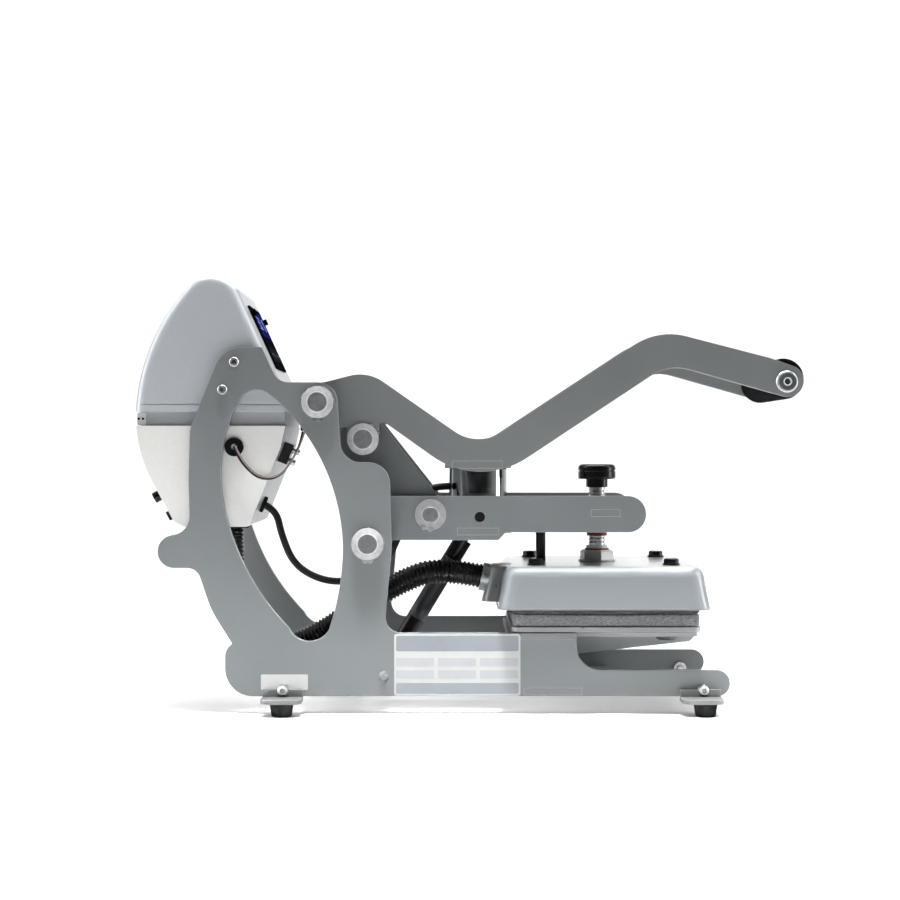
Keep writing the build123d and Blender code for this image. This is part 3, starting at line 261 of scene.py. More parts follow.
NO_LINES = (1.0, 1.0, 1.0)
zinc = bright_metal("zinc_plated_steel", "c6c8c9", 0.24, metallic=0.9)
screw_zinc = bright_metal(
    "zinc_plated_screws", "c6c8c9", 0.24, metallic=0.9, recess_shade_from=0.5, recess_shade_to=0.95)
dull_zinc = bright_metal("handled_zinc_plate", "7f8180", 0.42, metallic=0.7)
satin_nickel = bright_metal("satin_nickel_plate", "c9cac7", 0.30, metallic=0.15, streak=NO_LINES)
# The platen lock is coloured dark: painted shade for the shadow under the platen.
painted_lock_shade = bright_metal("lock_steel_painted_shade", "55585a", 0.4, metallic=0.5)
milled = bright_metal(
    "milled_aluminium", "9fa1a3", 0.34, metallic=0.85, streak=(0.08, 1.0, 1.0), line_mm=0.9)
chromed = bright_metal("ground_and_polished_steel", "b9bdbf", 0.09, streak=(1.0, 1.0, 0.1), cloud=0.06)
gland_metal = bright_metal(
    "die_cast_zinc_gland", "a4a8aa", 0.34, metallic=0.7, streak=NO_LINES, line_mm=1.6)
print("metals ready")

# %% [markdown]
# The big pin heads are turned on a lathe and then barrel plated. Their bevel is bright and their flat
# face is dull, with faint rings round the centre, and a thin painted highlight rings the edge of the flat
# face. A ring pattern needs the distance from the pin's own axis, so each pin gets the finish with its
# own centre. The turned bevel scatters light all round, which a low Metallic with a pale base colour
# gives.

# %% Turned pin heads
def axis_distance(tree, place, centre_mm):
    """How far each point is from an axis along Y through this X and Z."""
    x, z = centre_mm
    offset = add(tree, "ShaderNodeVectorMath", {0: place, 1: (x * MM, 0, z * MM)}, operation="SUBTRACT")
    across = add(tree, "ShaderNodeVectorMath", {0: offset, 1: (1, 0, 1)}, operation="MULTIPLY")
    return add(tree, "ShaderNodeVectorMath", {0: across}, operation="LENGTH").outputs["Value"]


def turned_head(name, centre_mm, flat_mm, ring_mm=1.0):
    material, tree, surface, place = new_finish(name, {"Metallic": 1.0})
    radius = axis_distance(tree, place, centre_mm)
    rings = add(tree, "ShaderNodeMath", {
        0: radius, 1: 2 * math.pi * per_mm(ring_mm)}, operation="MULTIPLY")
    ripple = add(tree, "ShaderNodeMath", {0: rings}, operation="SINE")
    blotch = add(tree, "ShaderNodeTexNoise", {"Vector": place, "Scale": per_mm(3.5), "Detail": 3.0})
    dull = add(tree, "ShaderNodeMapRange", {
        "Value": radius, "From Min": (flat_mm + 0.2) * MM, "From Max": (flat_mm - 0.2) * MM})
    cloudy = add(tree, "ShaderNodeMapRange", {
        "Value": blotch, **NOISE_SPAN, "To Min": 0.8, "To Max": 1.05})
    # Painted highlight: a thin bright ring just outside the flat face.
    from_lip = add(tree, "ShaderNodeMath", {0: radius, 1: (flat_mm + 0.35) * MM}, operation="SUBTRACT")
    lip_width = add(tree, "ShaderNodeMath", {0: from_lip}, operation="ABSOLUTE")
    lip = add(tree, "ShaderNodeMapRange", {
        "Value": lip_width, "From Min": 0.2 * MM, "From Max": 0.7 * MM, "To Min": 1.35, "To Max": 1.0})
    grooved = add(tree, "ShaderNodeMapRange", {
        "Value": ripple, "From Min": -1.0, "To Min": 0.86, "To Max": 1.08})
    toned = add(tree, "ShaderNodeMath", {0: grooved, 1: lip}, operation="MULTIPLY")
    shade = add(tree, "ShaderNodeMath", {0: toned, 1: cloudy}, operation="MULTIPLY")
    skin = add(tree, "ShaderNodeMix", {
        0: dull, 6: linear("bec0c1"), 7: linear("8f9092")}, data_type="RGBA")
    tinted = add(tree, "ShaderNodeVectorMath", {0: skin.outputs[2], "Scale": shade}, operation="SCALE")
    gloss = add(tree, "ShaderNodeMapRange", {"Value": dull, "To Min": 0.3, "To Max": 0.5})
    metal = add(tree, "ShaderNodeMapRange", {"Value": dull, "To Min": 0.25, "To Max": 0.9})
    lathe = add(tree, "ShaderNodeBump", {"Height": ripple, "Strength": 0.25, "Distance": 0.02 * MM})
    feed(tree, surface, {"Base Color": tinted, "Metallic": metal, "Roughness": gloss, "Normal": lathe})
    return material


LEVER_PINS, LINK_PIN = (-84.9, 216.4), (-31.2, 156.4)
pin_heads = {
    "lever_pivot_pin": turned_head("turned_lever_pivot", (-120.0, 245.5), 7.6),
    "arm_pivot_pin": turned_head("turned_arm_pivot", (-80.6, 133.9), 7.6),
    "lever_pins": turned_head("turned_lever_pins", LEVER_PINS, 7.6),
    "link_pin": turned_head("turned_link_pin", LINK_PIN, 6.3),
}
print("pin heads", list(pin_heads))

# %% [markdown]
# The bolts through the grip are blackened, with a hexagon socket, and each sits in a bright cup washer.
# Washer and bolt are one turned CAD piece, so the same distance from the axis now chooses the colour: a
# bright rim, a dark face, and a painted highlight on the lip round the socket.

# %% Grip bolts
def cup_bolt(name, centre_mm, face_mm, lip_mm, bore_mm):
    material, tree, surface, place = new_finish(name, {})
    radius = axis_distance(tree, place, centre_mm)
    # Each mask is full outside its circle, or inside it where the blur is negative.
    rim, inside_lip, outside_bore = [add(tree, "ShaderNodeMapRange", {
        "Value": radius, "From Min": (circle_mm - blur) * MM, "From Max": (circle_mm + blur) * MM})
        for circle_mm, blur in ((face_mm, 0.1), (lip_mm, -0.1), (bore_mm, 0.1))]
    # The bright lip round the socket is a painted highlight.
    lip = add(tree, "ShaderNodeMath", {0: inside_lip, 1: outside_bore}, operation="MULTIPLY")
    bright = add(tree, "ShaderNodeMath", {0: rim, 1: lip}, operation="MAXIMUM")
    smear = add(tree, "ShaderNodeTexNoise", {"Vector": place, "Scale": per_mm(3), "Detail": 3.0})
    tone = add(tree, "ShaderNodeMapRange", {"Value": smear, "To Min": 0.82, "To Max": 1.1})
    skin = add(tree, "ShaderNodeMix", {
        0: bright, 6: linear("434b4d"), 7: linear("f0f1f1")}, data_type="RGBA")
    tinted = add(tree, "ShaderNodeVectorMath", {0: skin.outputs[2], "Scale": tone}, operation="SCALE")
    gloss = add(tree, "ShaderNodeMapRange", {"Value": bright, "To Min": 0.42, "To Max": 0.16})
    metal = add(tree, "ShaderNodeMath", {0: rim, 1: 0.6}, operation="MULTIPLY")
    feed(tree, surface, {"Base Color": tinted, "Metallic": metal, "Roughness": gloss})
    return material


grip_bolt = cup_bolt("blackened_bolt_in_cup_washer", (251.8, 262.1), 7.2, 3.4, 2.5)
print("made", grip_bolt.name)

# %% [markdown]
# Black parts differ mostly in how they scatter light. Rubber is matt, and dust settles in its skin.
# Moulded plastic keeps a fine spark eroded texture from its steel mould and shines softly. The keypad's
# film is made not to glare, so it stays black even when it is seen almost edge on, as it is here. All are
# one recipe with other numbers.

# %% Rubber and plastic
def moulded_black(name, colour, dust, rough, grain_mm, depth_mm, IOR=1.49, shine=0.5):
    material, tree, surface, place = new_finish(name, {"IOR": IOR, "Specular IOR Level": shine})
    grain = add(tree, "ShaderNodeTexNoise", {"Vector": place, "Scale": per_mm(grain_mm), "Detail": 2.0})
    dusty = add(tree, "ShaderNodeTexNoise", {"Vector": place, "Scale": per_mm(9), "Detail": 4.0})
    amount = add(tree, "ShaderNodeMapRange", {
        "Value": dusty, "From Min": 0.45, "From Max": 0.75, "To Max": 0.6})
    skin = add(tree, "ShaderNodeMix", {0: amount, 6: linear(colour), 7: linear(dust)}, data_type="RGBA")
    gloss = add(tree, "ShaderNodeMapRange", {
        "Value": dusty, "To Min": rough - 0.06, "To Max": rough + 0.08})
    rounded = add(tree, "ShaderNodeBevel", {"Radius": 0.4 * MM}, samples=4)
    texture = add(tree, "ShaderNodeBump", {
        "Height": grain, "Normal": rounded, "Strength": 0.35, "Distance": depth_mm * MM})
    feed(tree, surface, {"Base Color": skin.outputs[2], "Roughness": gloss, "Normal": texture})
    return material


rubber = moulded_black("moulded_rubber", "151617", "212223", 0.7, 1.0, 0.06, shine=0.0)
plastic = moulded_black("moulded_nylon", "08090a", "111213", 0.18, 0.8, 0.02, shine=0.3)
keypad = moulded_black("anti_glare_keypad_film", "09090c", "0f0f14", 0.60, 1.2, 0.01, shine=0.0)
# The heated platen is coloured near black: painted shade for the dark gap under the casting.
painted_gap_shade = moulded_black("heat_platen_painted_shade", "1d1e1f", "292a2b", 0.5, 1.0, 0.01, shine=0.2)
seal_red = moulded_black("silicone_seal", "6e1712", "84251d", 0.45, 1.0, 0.03, IOR=1.42)
gas_black = moulded_black("stoved_black_paint", "0d0e10", "17181a", 0.22, 1.4, 0.01)
print("blacks ready")

# %% [markdown]
# The terminal block is black plastic with two zinc plated screws standing out of it. The screws begin
# where the block's face ends, a fixed distance from the tray's sloping front, so that distance mixes the
# two finishes: it drives the colour, and Metallic with it.

# %% Terminal block
BLOCK_FOOT, BLOCK_WAY, BLOCK_FACE = (-151.03, 0.0, 206.7), (0.928, 0.0, -0.3726), 7.9


def block_finish(name):
    material, tree, surface, place = new_finish(name, {"Roughness": 0.3})
    foot = tuple(v * MM for v in BLOCK_FOOT)
    offset = add(tree, "ShaderNodeVectorMath", {0: place, 1: foot}, operation="SUBTRACT")
    out = add(tree, "ShaderNodeVectorMath", {0: offset, 1: BLOCK_WAY}, operation="DOT_PRODUCT")
    screw = add(tree, "ShaderNodeMapRange", {
        "Value": out.outputs["Value"],
        "From Min": (BLOCK_FACE - 0.05) * MM, "From Max": (BLOCK_FACE + 0.05) * MM})
    grain = add(tree, "ShaderNodeTexNoise", {"Vector": place, "Scale": per_mm(1.0), "Detail": 2.0})
    skin = add(tree, "ShaderNodeMix", {
        0: screw, 6: linear("0e0f10"), 7: linear("c9cac6")}, data_type="RGBA")
    tone = add(tree, "ShaderNodeMapRange", {"Value": grain, "To Min": 0.85, "To Max": 1.1})
    tinted = add(tree, "ShaderNodeVectorMath", {0: skin.outputs[2], "Scale": tone}, operation="SCALE")
    bump = add(tree, "ShaderNodeBump", {"Height": grain, "Strength": 0.3, "Distance": 0.03 * MM})
    feed(tree, surface, {"Base Color": tinted, "Metallic": screw, "Normal": bump})
    return material


terminal = block_finish("terminal_block_with_screws")
print("made", terminal.name)

# %% [markdown]
# Each CAD node now takes its finish. Only the material slots change, so the meshes stay exactly as the
# CAD made them.

# %% Dress the CAD nodes
FINISHES = [
    (plate_grey, ["near_side_plate", "far_side_plate", "base_cross_plates", "lever_arm_near",
                  "lever_arm_far", "press_arm_near", "press_arm_far", "magnet_plate", "arm_lower_plate",
                  "nut_plate", "strut_foot_pin", "strike_plate"]),
    (carrier_painted_light_grey, ["platen_carrier"]),
    (link_painted_shade_grey, ["link_near", "link_far"]),
    (cast_silver, ["platen_cover"]),
    (housing_silver, ["controller_housing"]),
    (tray_white, ["controller_tray"]),
    (screw_zinc, ["plate_screws"]),
    (zinc, ["retaining_rings", "lever_pivot_tube", "link_shaft", "link_tube",
            "arm_pivot_tube", "plate_bolts", "nut_bushing", "pressure_screw"]),
    (dull_zinc, ["foot_brackets"]),
    (painted_lock_shade, ["platen_lock"]),
    (satin_nickel, ["hex_retainer"]),
    (milled, ["lower_platen"]),
    (painted_gap_shade, ["heat_platen"]),
    (grip_bolt, ["grip_bolts"]),
    (terminal, ["terminal_block"]),
    (chromed, ["electromagnet", "strut_rod"]),
    (gland_metal, ["hose_gland"]),
    (rubber, ["handle_grip", "rubber_feet", "grommets"]),
    (plastic, ["cap_nuts", "guide_pin", "pressure_knob", "power_fittings", "power_switch",
               "breaker_button", "sensor_switch"]),
    (keypad, ["control_panel"]),
    (seal_red, ["seal_ring"]),
    (gas_black, ["strut_cylinder", "strut_head_pins"]),
]
FINISHES += [(material, [node]) for node, material in pin_heads.items()]


def dress(node, material):
    """Give a CAD node this material in its only slot."""
    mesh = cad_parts[node].data
    mesh.materials.clear()
    mesh.materials.append(material)


for material, nodes in FINISHES:
    for node in nodes:
        dress(node, material)
dressed = {node for _, nodes in FINISHES for node in nodes}
print("dressed", len(dressed), "left", sorted(set(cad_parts) - dressed))

# %% [markdown]
# The display is lit from behind. Blue glass over a light panel reads as an even glow that is brighter in
# some places, so its emission follows a soft cloud. The digits and key symbols are thin raised shapes,
# built later on the same sloping face.

# %% Display glass
def lit_glass(name, colour, glow, strength):
    material, tree, surface, place = new_finish(name, {
        "Specular IOR Level": 0.0, "Roughness": 0.5, "Emission Strength": strength})
    cloud = add(tree, "ShaderNodeTexNoise", {"Vector": place, "Scale": per_mm(26), "Detail": 1.0})
    bright = add(tree, "ShaderNodeMapRange", {"Value": cloud, **NOISE_SPAN, "To Min": 0.6, "To Max": 1.0})
    for socket, tint in (("Emission Color", glow), ("Base Color", colour)):
        feed(tree, surface, {socket: add(tree, "ShaderNodeVectorMath", {
            0: linear(tint)[:3], "Scale": bright}, operation="SCALE")})
    return material


blue_glass = lit_glass("blue_display_glass", "0a0d3a", "232887", 0.5)
digit_light = lit_glass("display_digits", "8088c4", "9aa2e4", 0.8)
dress("display_window", blue_glass)
print("display lit")

# %% [markdown]
# A cable lies on a smooth line. Its route is the list of points that the CAD model uses, and a quadratic
# NURBS spline through their hull rounds every corner as a real cable does. The tube itself is a mesh that
# follows points read from that spline, because a mesh can bend with a joint and a curve object can't.

# %% Lines and tubes
def cable_line(route_mm):
    """Points along the smooth spline of a route, in metres."""
    curve = bpy.data.curves.new("route", "CURVE")
    curve.dimensions = "3D"
    curve.resolution_u = 32
    spline = curve.splines.new("NURBS")
    spline.points.add(len(route_mm) - 1)
    for point, place in zip(spline.points, route_mm):
        point.co = (place[0] * MM, place[1] * MM, place[2] * MM, 1.0)
    spline.order_u = 3
    spline.use_endpoint_u = True
    holder = bpy.data.objects.new("route", curve)
    bpy.context.collection.objects.link(holder)
    line = bpy.data.meshes.new_from_object(holder)
    points = np.array([v.co for v in line.vertices])
    bpy.data.objects.remove(holder)
    bpy.data.meshes.remove(line)
    return points


def step_lengths(points):
    """The distance from each point of a line to the next."""
    return np.linalg.norm(np.diff(points, axis=0), axis=1)


def line_length(points):
    return float(step_lengths(points).sum())


def at_lengths(points, lengths, reach=0.4 * MM):
    """Points of a line at these distances from its start, with its direction at each."""
    run = np.concatenate([[0], np.cumsum(step_lengths(points))])
    places, ahead, behind = [
        np.array([np.interp(lengths + shift, run, points[:, axis]) for axis in range(3)]).T
        for shift in (0, reach, -reach)]
    ways = ahead - behind
    return places, ways / np.linalg.norm(ways, axis=1)[:, None]


def bridge(mesh, rings):
    """Join each ring of points to the next with faces, and close both ends."""
    for here, there in zip(rings, rings[1:]):
        for k in range(len(here)):
            after = (k + 1) % len(here)
            mesh.faces.new((here[k], here[after], there[after], there[k]))
    mesh.faces.new(rings[0][::-1])
    mesh.faces.new(rings[-1])


def mesh_piece(name, mesh, material, smooth=True):
    """Turn a bmesh into a scene object with this material."""
    data = bpy.data.meshes.new(name)
    mesh.to_mesh(data)
    mesh.free()
    for face in data.polygons:
        face.use_smooth = smooth
    data.materials.append(material)
    piece = bpy.data.objects.new(name, data)
    bpy.context.collection.objects.link(piece)
    return piece


def swept(name, points, lengths, radii, material, sides=28):
    """A closed tube of rings round a line, one ring at each distance, with its own radius."""
    places, ways = at_lengths(points, np.array(lengths))
    mesh = bmesh.new()
    rings = []
    across = Vector((0, 1, 0))
    turn = [2 * math.pi * k / sides for k in range(sides)]
    for place, way, radius in zip(places, ways, radii):
        way = Vector(way)
        across = (across - way * across.dot(way)).normalized()
        up = way.cross(across)
        rings.append([mesh.verts.new(
            Vector(place) + (across * math.cos(a) + up * math.sin(a)) * radius) for a in turn])
    bridge(mesh, rings)
    bmesh.ops.recalc_face_normals(mesh, faces=mesh.faces)
    return mesh_piece(name, mesh, material)


print("tube tools ready")

# %% [markdown]
# The heater wires run inside corrugated nylon conduit. Each rib is a rounded hoop with a narrow groove
# behind it, 3.3 mm apart, so light breaks into a bright dash on every rib. The ribs' shape is real
# geometry here, because at this size a bump map would leave the outline smooth.

# %% Ribbed hose
HOSE_ROUTE = [
    (13.0, -28.0, 104.5), (-24.2, -28.0, 112.4), (-57.0, -28.0, 100.5), (-89.0, -28.0, 80.5),
    (-118.0, -28.0, 60.0), (-146.0, -28.0, 47.5), (-172.0, -28.0, 52.0), (-188.5, -28.0, 74.0),
    (-193.0, -28.0, 106.0), (-193.0, -28.0, 147.0),
]
RIB_PITCH, RIB_TOP, RIB_ROOT = 3.3 * MM, 10.0 * MM, 8.6 * MM
RIB_FORM = [(0.0, 0.0), (0.12, 0.04), (0.24, 0.45), (0.36, 0.86), (0.52, 1.0), (0.68, 0.86),
            (0.80, 0.45), (0.92, 0.04)]
conduit = moulded_black("corrugated_nylon", "0a0b0c", "17181a", 0.26, 0.9, 0.02, shine=0.3)

hose_line = cable_line(HOSE_ROUTE)
rib_count = round(line_length(hose_line) / RIB_PITCH)
hose_pitch = line_length(hose_line) / rib_count


def ribbed(name, first, last):
    """A length of the hose, from one rib to another, counted from the head."""
    lengths, radii = [], []
    for rib in range(first, last):
        for share, height in RIB_FORM:
            lengths.append((rib + share) * hose_pitch)
            radii.append(RIB_ROOT + (RIB_TOP - RIB_ROOT) * height)
    lengths.append(last * hose_pitch)
    radii.append(RIB_ROOT)
    return swept(name, hose_line, lengths, radii, conduit, sides=36)


print("hose length", round(line_length(hose_line), 4), "ribs", rib_count)

# %% [markdown]
# The hose crosses two joints. Its long run bends between the fixed base and the swinging arms, and its
# last few ribs slide with the heated head when the pressure screw moves it. So it is two pieces that
# share one line and one rib spacing.

# %% Hose across the joints
HEAD_RIBS = 9
hose_head = ribbed("heater_hose_head", 0, HEAD_RIBS)
hose_run = ribbed("heater_hose_run", HEAD_RIBS, rib_count)
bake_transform(hose_head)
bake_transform(hose_run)
for piece in (hose_head, hose_run):
    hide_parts("heater_hose")
print("hose pitch mm", round(hose_pitch / MM, 3))

# %% [markdown]
# The electromagnet's lead is soft round rubber cable. It leaves the tray through a grommet, hangs down,
# and climbs between the arms to the magnet. The two sensing wires are thin and springy, and they stay on
# the base. The pale one follows the brown one, a little above it.

# %% Cables
CABLE_ROUTE = [
    (-167.9, -30.0, 163.9), (-157.0, -30.0, 159.5), (-152.5, -30.0, 138.0), (-142.0, -30.0, 113.5),
    (-117.0, -30.0, 100.5), (-91.0, -30.0, 102.0), (-67.5, -28.0, 116.0), (-56.0, -24.0, 141.0),
    (-47.5, -18.0, 168.0), (-31.0, -14.0, 178.0), (-15.0, -12.0, 178.0),
]
BROWN_ROUTE = [
    (-186.4, -70.2, 210.2), (-186.0, -73.8, 208.8), (-179.5, -74.4, 196.5), (-166.0, -73.0, 184.0),
    (-150.0, -70.0, 186.0), (-140.0, -67.6, 201.0), (-134.0, -66.9, 214.0), (-132.6, -66.9, 222.7),
]
PALE_ROUTE = [(x + 1.0, y, z + 1.4) for x, y, z in BROWN_ROUTE[:-1]] + [(-130.9, -66.9, 222.7)]
RING_STEP, CABLE_RADIUS, WIRE_RADIUS = 1.2 * MM, 2.9 * MM, 0.8 * MM
cable_skin = moulded_black("rubber_cable_sheath", "101112", "1c1d1e", 0.48, 1.2, 0.02, shine=0.25)
wire_brown = moulded_black("brown_wire_insulation", "1d120f", "2b1d18", 0.35, 1.0, 0.01, shine=0.2)
wire_white = moulded_black("pale_wire_insulation", "8d8380", "756b67", 0.35, 1.0, 0.01, shine=0.2)


def round_cable(name, route_mm, radius, material, sides):
    """A plain tube along a route, which prints its length in metres."""
    points = cable_line(route_mm)
    length = line_length(points)
    count = max(24, int(length / RING_STEP))
    print(name, "length", round(length, 4))
    return swept(name, points, np.linspace(0, length, count), [radius] * count, material, sides)


magnet_cable = round_cable("magnet_cable_run", CABLE_ROUTE, CABLE_RADIUS, cable_skin, 24)
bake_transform(magnet_cable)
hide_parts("magnet_cable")

for name, route, material in (("sensing_wire_brown", BROWN_ROUTE, wire_brown),
                              ("sensing_wire_white", PALE_ROUTE, wire_white)):
    wire = round_cable(name, route, WIRE_RADIUS, material, 12)
    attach(wire, "base")
    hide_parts("sensor_wires")

# %% [markdown]
# The lower platen wears a silicone sponge pad in a thin speckled cover. The cover is dark felt with pale
# fibres. A Voronoi texture gives the fine specks, a noise squeezed in height gives the felt's layers, and
# two crossed waves give the faint weave.

# %% Pad cover material
def speckled_cover(name, dark, pale, weave_mm=1.6, speck_mm=0.9, felt_mm=1.1):
    material, tree, surface, place = new_finish(name, {
        "Sheen Weight": 0.25, "Sheen Roughness": 0.5, "IOR": 1.45})
    speck = add(tree, "ShaderNodeTexVoronoi", {
        "Vector": place, "Scale": per_mm(speck_mm), "Randomness": 1.0})
    layered = add(tree, "ShaderNodeVectorMath", {0: place, 1: (0.45, 0.45, 1.6)}, operation="MULTIPLY")
    felt = add(tree, "ShaderNodeTexNoise", {"Vector": layered, "Scale": per_mm(felt_mm), "Detail": 4.0})
    mix = add(tree, "ShaderNodeMapRange", {
        "Value": felt, "From Min": 0.42, "From Max": 0.66, "To Max": 0.85})
    spot = add(tree, "ShaderNodeMapRange", {
        "Value": speck.outputs["Distance"],
        "From Min": 0.1, "From Max": 0.5, "To Min": 1.1, "To Max": 0.88})
    base = add(tree, "ShaderNodeMix", {0: mix, 6: linear(dark), 7: linear(pale)}, data_type="RGBA")
    tinted = add(tree, "ShaderNodeVectorMath", {0: base.outputs[2], "Scale": spot}, operation="SCALE")
    threads = [add(tree, "ShaderNodeTexWave", {
        "Vector": place, "Scale": per_mm(weave_mm) / 3.2, "Distortion": 0.6}, bands_direction=way)
        for way in ("X", "Y")]
    weave = add(tree, "ShaderNodeMath", {
        0: threads[0].outputs[1], 1: threads[1].outputs[1]}, operation="MAXIMUM")
    height = add(tree, "ShaderNodeMath", {0: weave, 1: felt}, operation="ADD")
    bump = add(tree, "ShaderNodeBump", {"Height": height, "Strength": 0.6, "Distance": 0.25 * MM})
    rough = add(tree, "ShaderNodeMapRange", {"Value": felt, "To Min": 0.82, "To Max": 0.98})
    feed(tree, surface, {"Base Color": tinted, "Roughness": rough, "Normal": bump})
    return material


pad_cover = speckled_cover("speckled_pad_cover", "606163", "96979a")
print("made", pad_cover.name)

# %% [markdown]
# Between the closed platens the pad is flat above and below, and the squeeze makes its sides swell. A
# cloth simulation with a little inner pressure finds that swell: a remeshed blank is blown up, and each
# point is then held to the space between the platens. The swollen edge would look too even if it were
# simply rounded by hand. The blank starts a little wider than the pad, because the remesh and the cloth
# both draw it in. The voxel size is a third of its thickness, so that the sides keep three rows of points
# to bulge with.

# %% Blow up the pad
PAD_LOW, PAD_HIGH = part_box("platen_pad")
BLANK_GROWTH, BLANK_GAP, BLANK_CORNER_MM, BLANK_LEVELS = 0.9 * MM, 0.4 * MM, 5.0, 3
VOXEL, PRESSURE, SWELL_CAP, SWELL_FRAMES = 3.0 * MM, 4.0, 2.2 * MM, 20
PLATEN_GAP = 0.05 * MM


def rounded_outline(x0, x1, y0, y1, corner_mm, steps):
    """Points round a rectangle in metres, with each corner turned in this many steps."""
    points = []
    for x, y, start in ((x1, y1, 0), (x0, y1, 90), (x0, y0, 180), (x1, y0, 270)):
        centre = Vector((x, y)) - Vector((math.copysign(corner_mm * MM, x - (x0 + x1) / 2),
                                          math.copysign(corner_mm * MM, y - (y0 + y1) / 2)))
        for step in range(steps + 1):
            angle = math.radians(start + 90 / steps * step)
            points.append(centre + Vector((math.cos(angle), math.sin(angle))) * corner_mm * MM)
    return points


def pad_blank():
    """A slab with rounded corners in plan, wider and a little thinner than the pad."""
    mesh = bmesh.new()
    low = PAD_LOW - Vector((BLANK_GROWTH, BLANK_GROWTH, -BLANK_GAP))
    high = PAD_HIGH + Vector((BLANK_GROWTH, BLANK_GROWTH, -BLANK_GAP))
    outline = rounded_outline(low.x, high.x, low.y, high.y, BLANK_CORNER_MM, 4)
    bridge(mesh, [[mesh.verts.new((x, y, low.z + (high.z - low.z) * k / BLANK_LEVELS))
                   for x, y in outline] for k in range(BLANK_LEVELS + 1)])
    return mesh_piece("platen_pad_cover", mesh, pad_cover)


def blow_up(piece):
    """Swell a closed piece with cloth pressure, and hold it between the two platens."""
    bpy.context.view_layer.objects.active = piece
    piece.data.remesh_voxel_size = VOXEL
    with bpy.context.temp_override(active_object=piece, object=piece, selected_objects=[piece]):
        bpy.ops.object.voxel_remesh()
    points = np.array([v.co for v in piece.data.vertices])
    cloth = piece.modifiers.new("swell", "CLOTH")
    cloth.settings.use_pressure = True
    cloth.settings.uniform_pressure_force = PRESSURE
    cloth.settings.effector_weights.gravity = 0
    cloth.settings.mass = 0.2
    for frame_number in range(1, SWELL_FRAMES + 1):
        bpy.context.scene.frame_set(frame_number)
    shown = piece.evaluated_get(bpy.context.evaluated_depsgraph_get()).to_mesh()
    move = np.array([v.co for v in shown.vertices]) - points
    piece.modifiers.remove(cloth)
    bpy.context.scene.frame_set(1)
    far = np.linalg.norm(move, axis=1)
    points = points + move * np.minimum(1.0, SWELL_CAP / np.maximum(far, 1e-9))[:, None]
    points[:, 2] = np.clip(points[:, 2], PAD_LOW.z + PLATEN_GAP, PAD_HIGH.z - PLATEN_GAP)
    piece.data.vertices.foreach_set("co", points.ravel())
    piece.data.update()


pad = pad_blank()
blow_up(pad)
rounding = pad.modifiers.new("rounding", "SUBSURF")
rounding.levels = rounding.render_levels = 1
for face in pad.data.polygons:
    face.use_smooth = True
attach(pad, "base")
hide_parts("platen_pad")
print("pad points", len(pad.data.vertices))

# %% [markdown]
# A label is a thin film with slightly rounded corners. There is one large label and one small one on the
# near plate. Both are blank: white film, and on the large one two grey bands and six paler fields. The
# film is 0.18 mm thick, and the bands and fields stand 0.06 mm above it.

# %% Blank labels
def label_film(name, colour, rough=0.4):
    material, tree, surface, place = new_finish(name, {
        "IOR": 1.5, "Coat Weight": 0.15, "Coat Roughness": 0.2})
    mottle = add(tree, "ShaderNodeTexNoise", {"Vector": place, "Scale": per_mm(12), "Detail": 3.0})
    tone = add(tree, "ShaderNodeMapRange", {
        "Value": mottle, **NOISE_SPAN, "To Min": 0.96, "To Max": 1.03})
    tinted = add(tree, "ShaderNodeVectorMath", {0: linear(colour)[:3], "Scale": tone}, operation="SCALE")
    gloss = add(tree, "ShaderNodeMapRange", {
        "Value": mottle, "To Min": rough - 0.05, "To Max": rough + 0.05})
    feed(tree, surface, {"Base Color": tinted, "Roughness": gloss})
    return material


film_white = label_film("white_label_film", "cdcecd")
film_grey = label_film("grey_label_ink", "8f959a")
film_pale = label_film("pale_label_fields", "b6babd")


def near_plane(y_mm):
    """A plane that faces the camera at this Y, with its own X to the right and its own Y up."""
    return Matrix.Translation((0, y_mm * MM, 0)) @ Matrix.Rotation(math.radians(90), 4, "X")


def patches(name, plane, rows, materials, body):
    """Thin rounded shapes on a plane; a row is x0, x1, y0, y1, depth and corner in mm, and a slot."""
    mesh = bmesh.new()
    for *sides, depth, corner_mm, index in rows:
        outline = rounded_outline(*(side * MM for side in sides), corner_mm, 3)
        low, top = [[mesh.verts.new(plane @ Vector((x, y, height))) for x, y in outline]
                    for height in (0.0, depth * MM)]
        faces = [mesh.faces.new(top)]
        for k in range(len(outline)):
            after = (k + 1) % len(outline)
            faces.append(mesh.faces.new((low[k], low[after], top[after], top[k])))
        for face in faces:
            face.material_index = index
    piece = mesh_piece(name, mesh, materials[0], smooth=False)
    for material in materials[1:]:
        piece.data.materials.append(material)
    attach(piece, body)


plate_face = near_plane(-76.0)
label_rows = [(-59.7, 39.7, 14.4, 63.0, 0.18, 2.0, 0), (-58.2, 38.2, 49.5, 61.5, 0.24, 1.2, 1),
              (-58.2, 38.2, 16.0, 24.5, 0.24, 1.2, 1)]
label_rows += [(left, left + 30.0, 28.0 + 9.5 * row, 34.5 + 9.5 * row, 0.24, 0.6, 2)
               for left in (-58.2, -25.2, 7.8) for row in range(2)]
patches("rating_label", plate_face, label_rows, [film_white, film_grey, film_pale], "base")
patches("small_label", plate_face, [(-164.6, -127.6, 18.9, 31.1, 0.18, 0.8, 0)], [film_white],
        "base")
print("labels placed")

# %% [markdown]
# The keypad shows two plain numbers, a temperature and a time, and four touch keys. Each digit is seven
# straight segments, so a short table of which segments are on is enough to build any number.

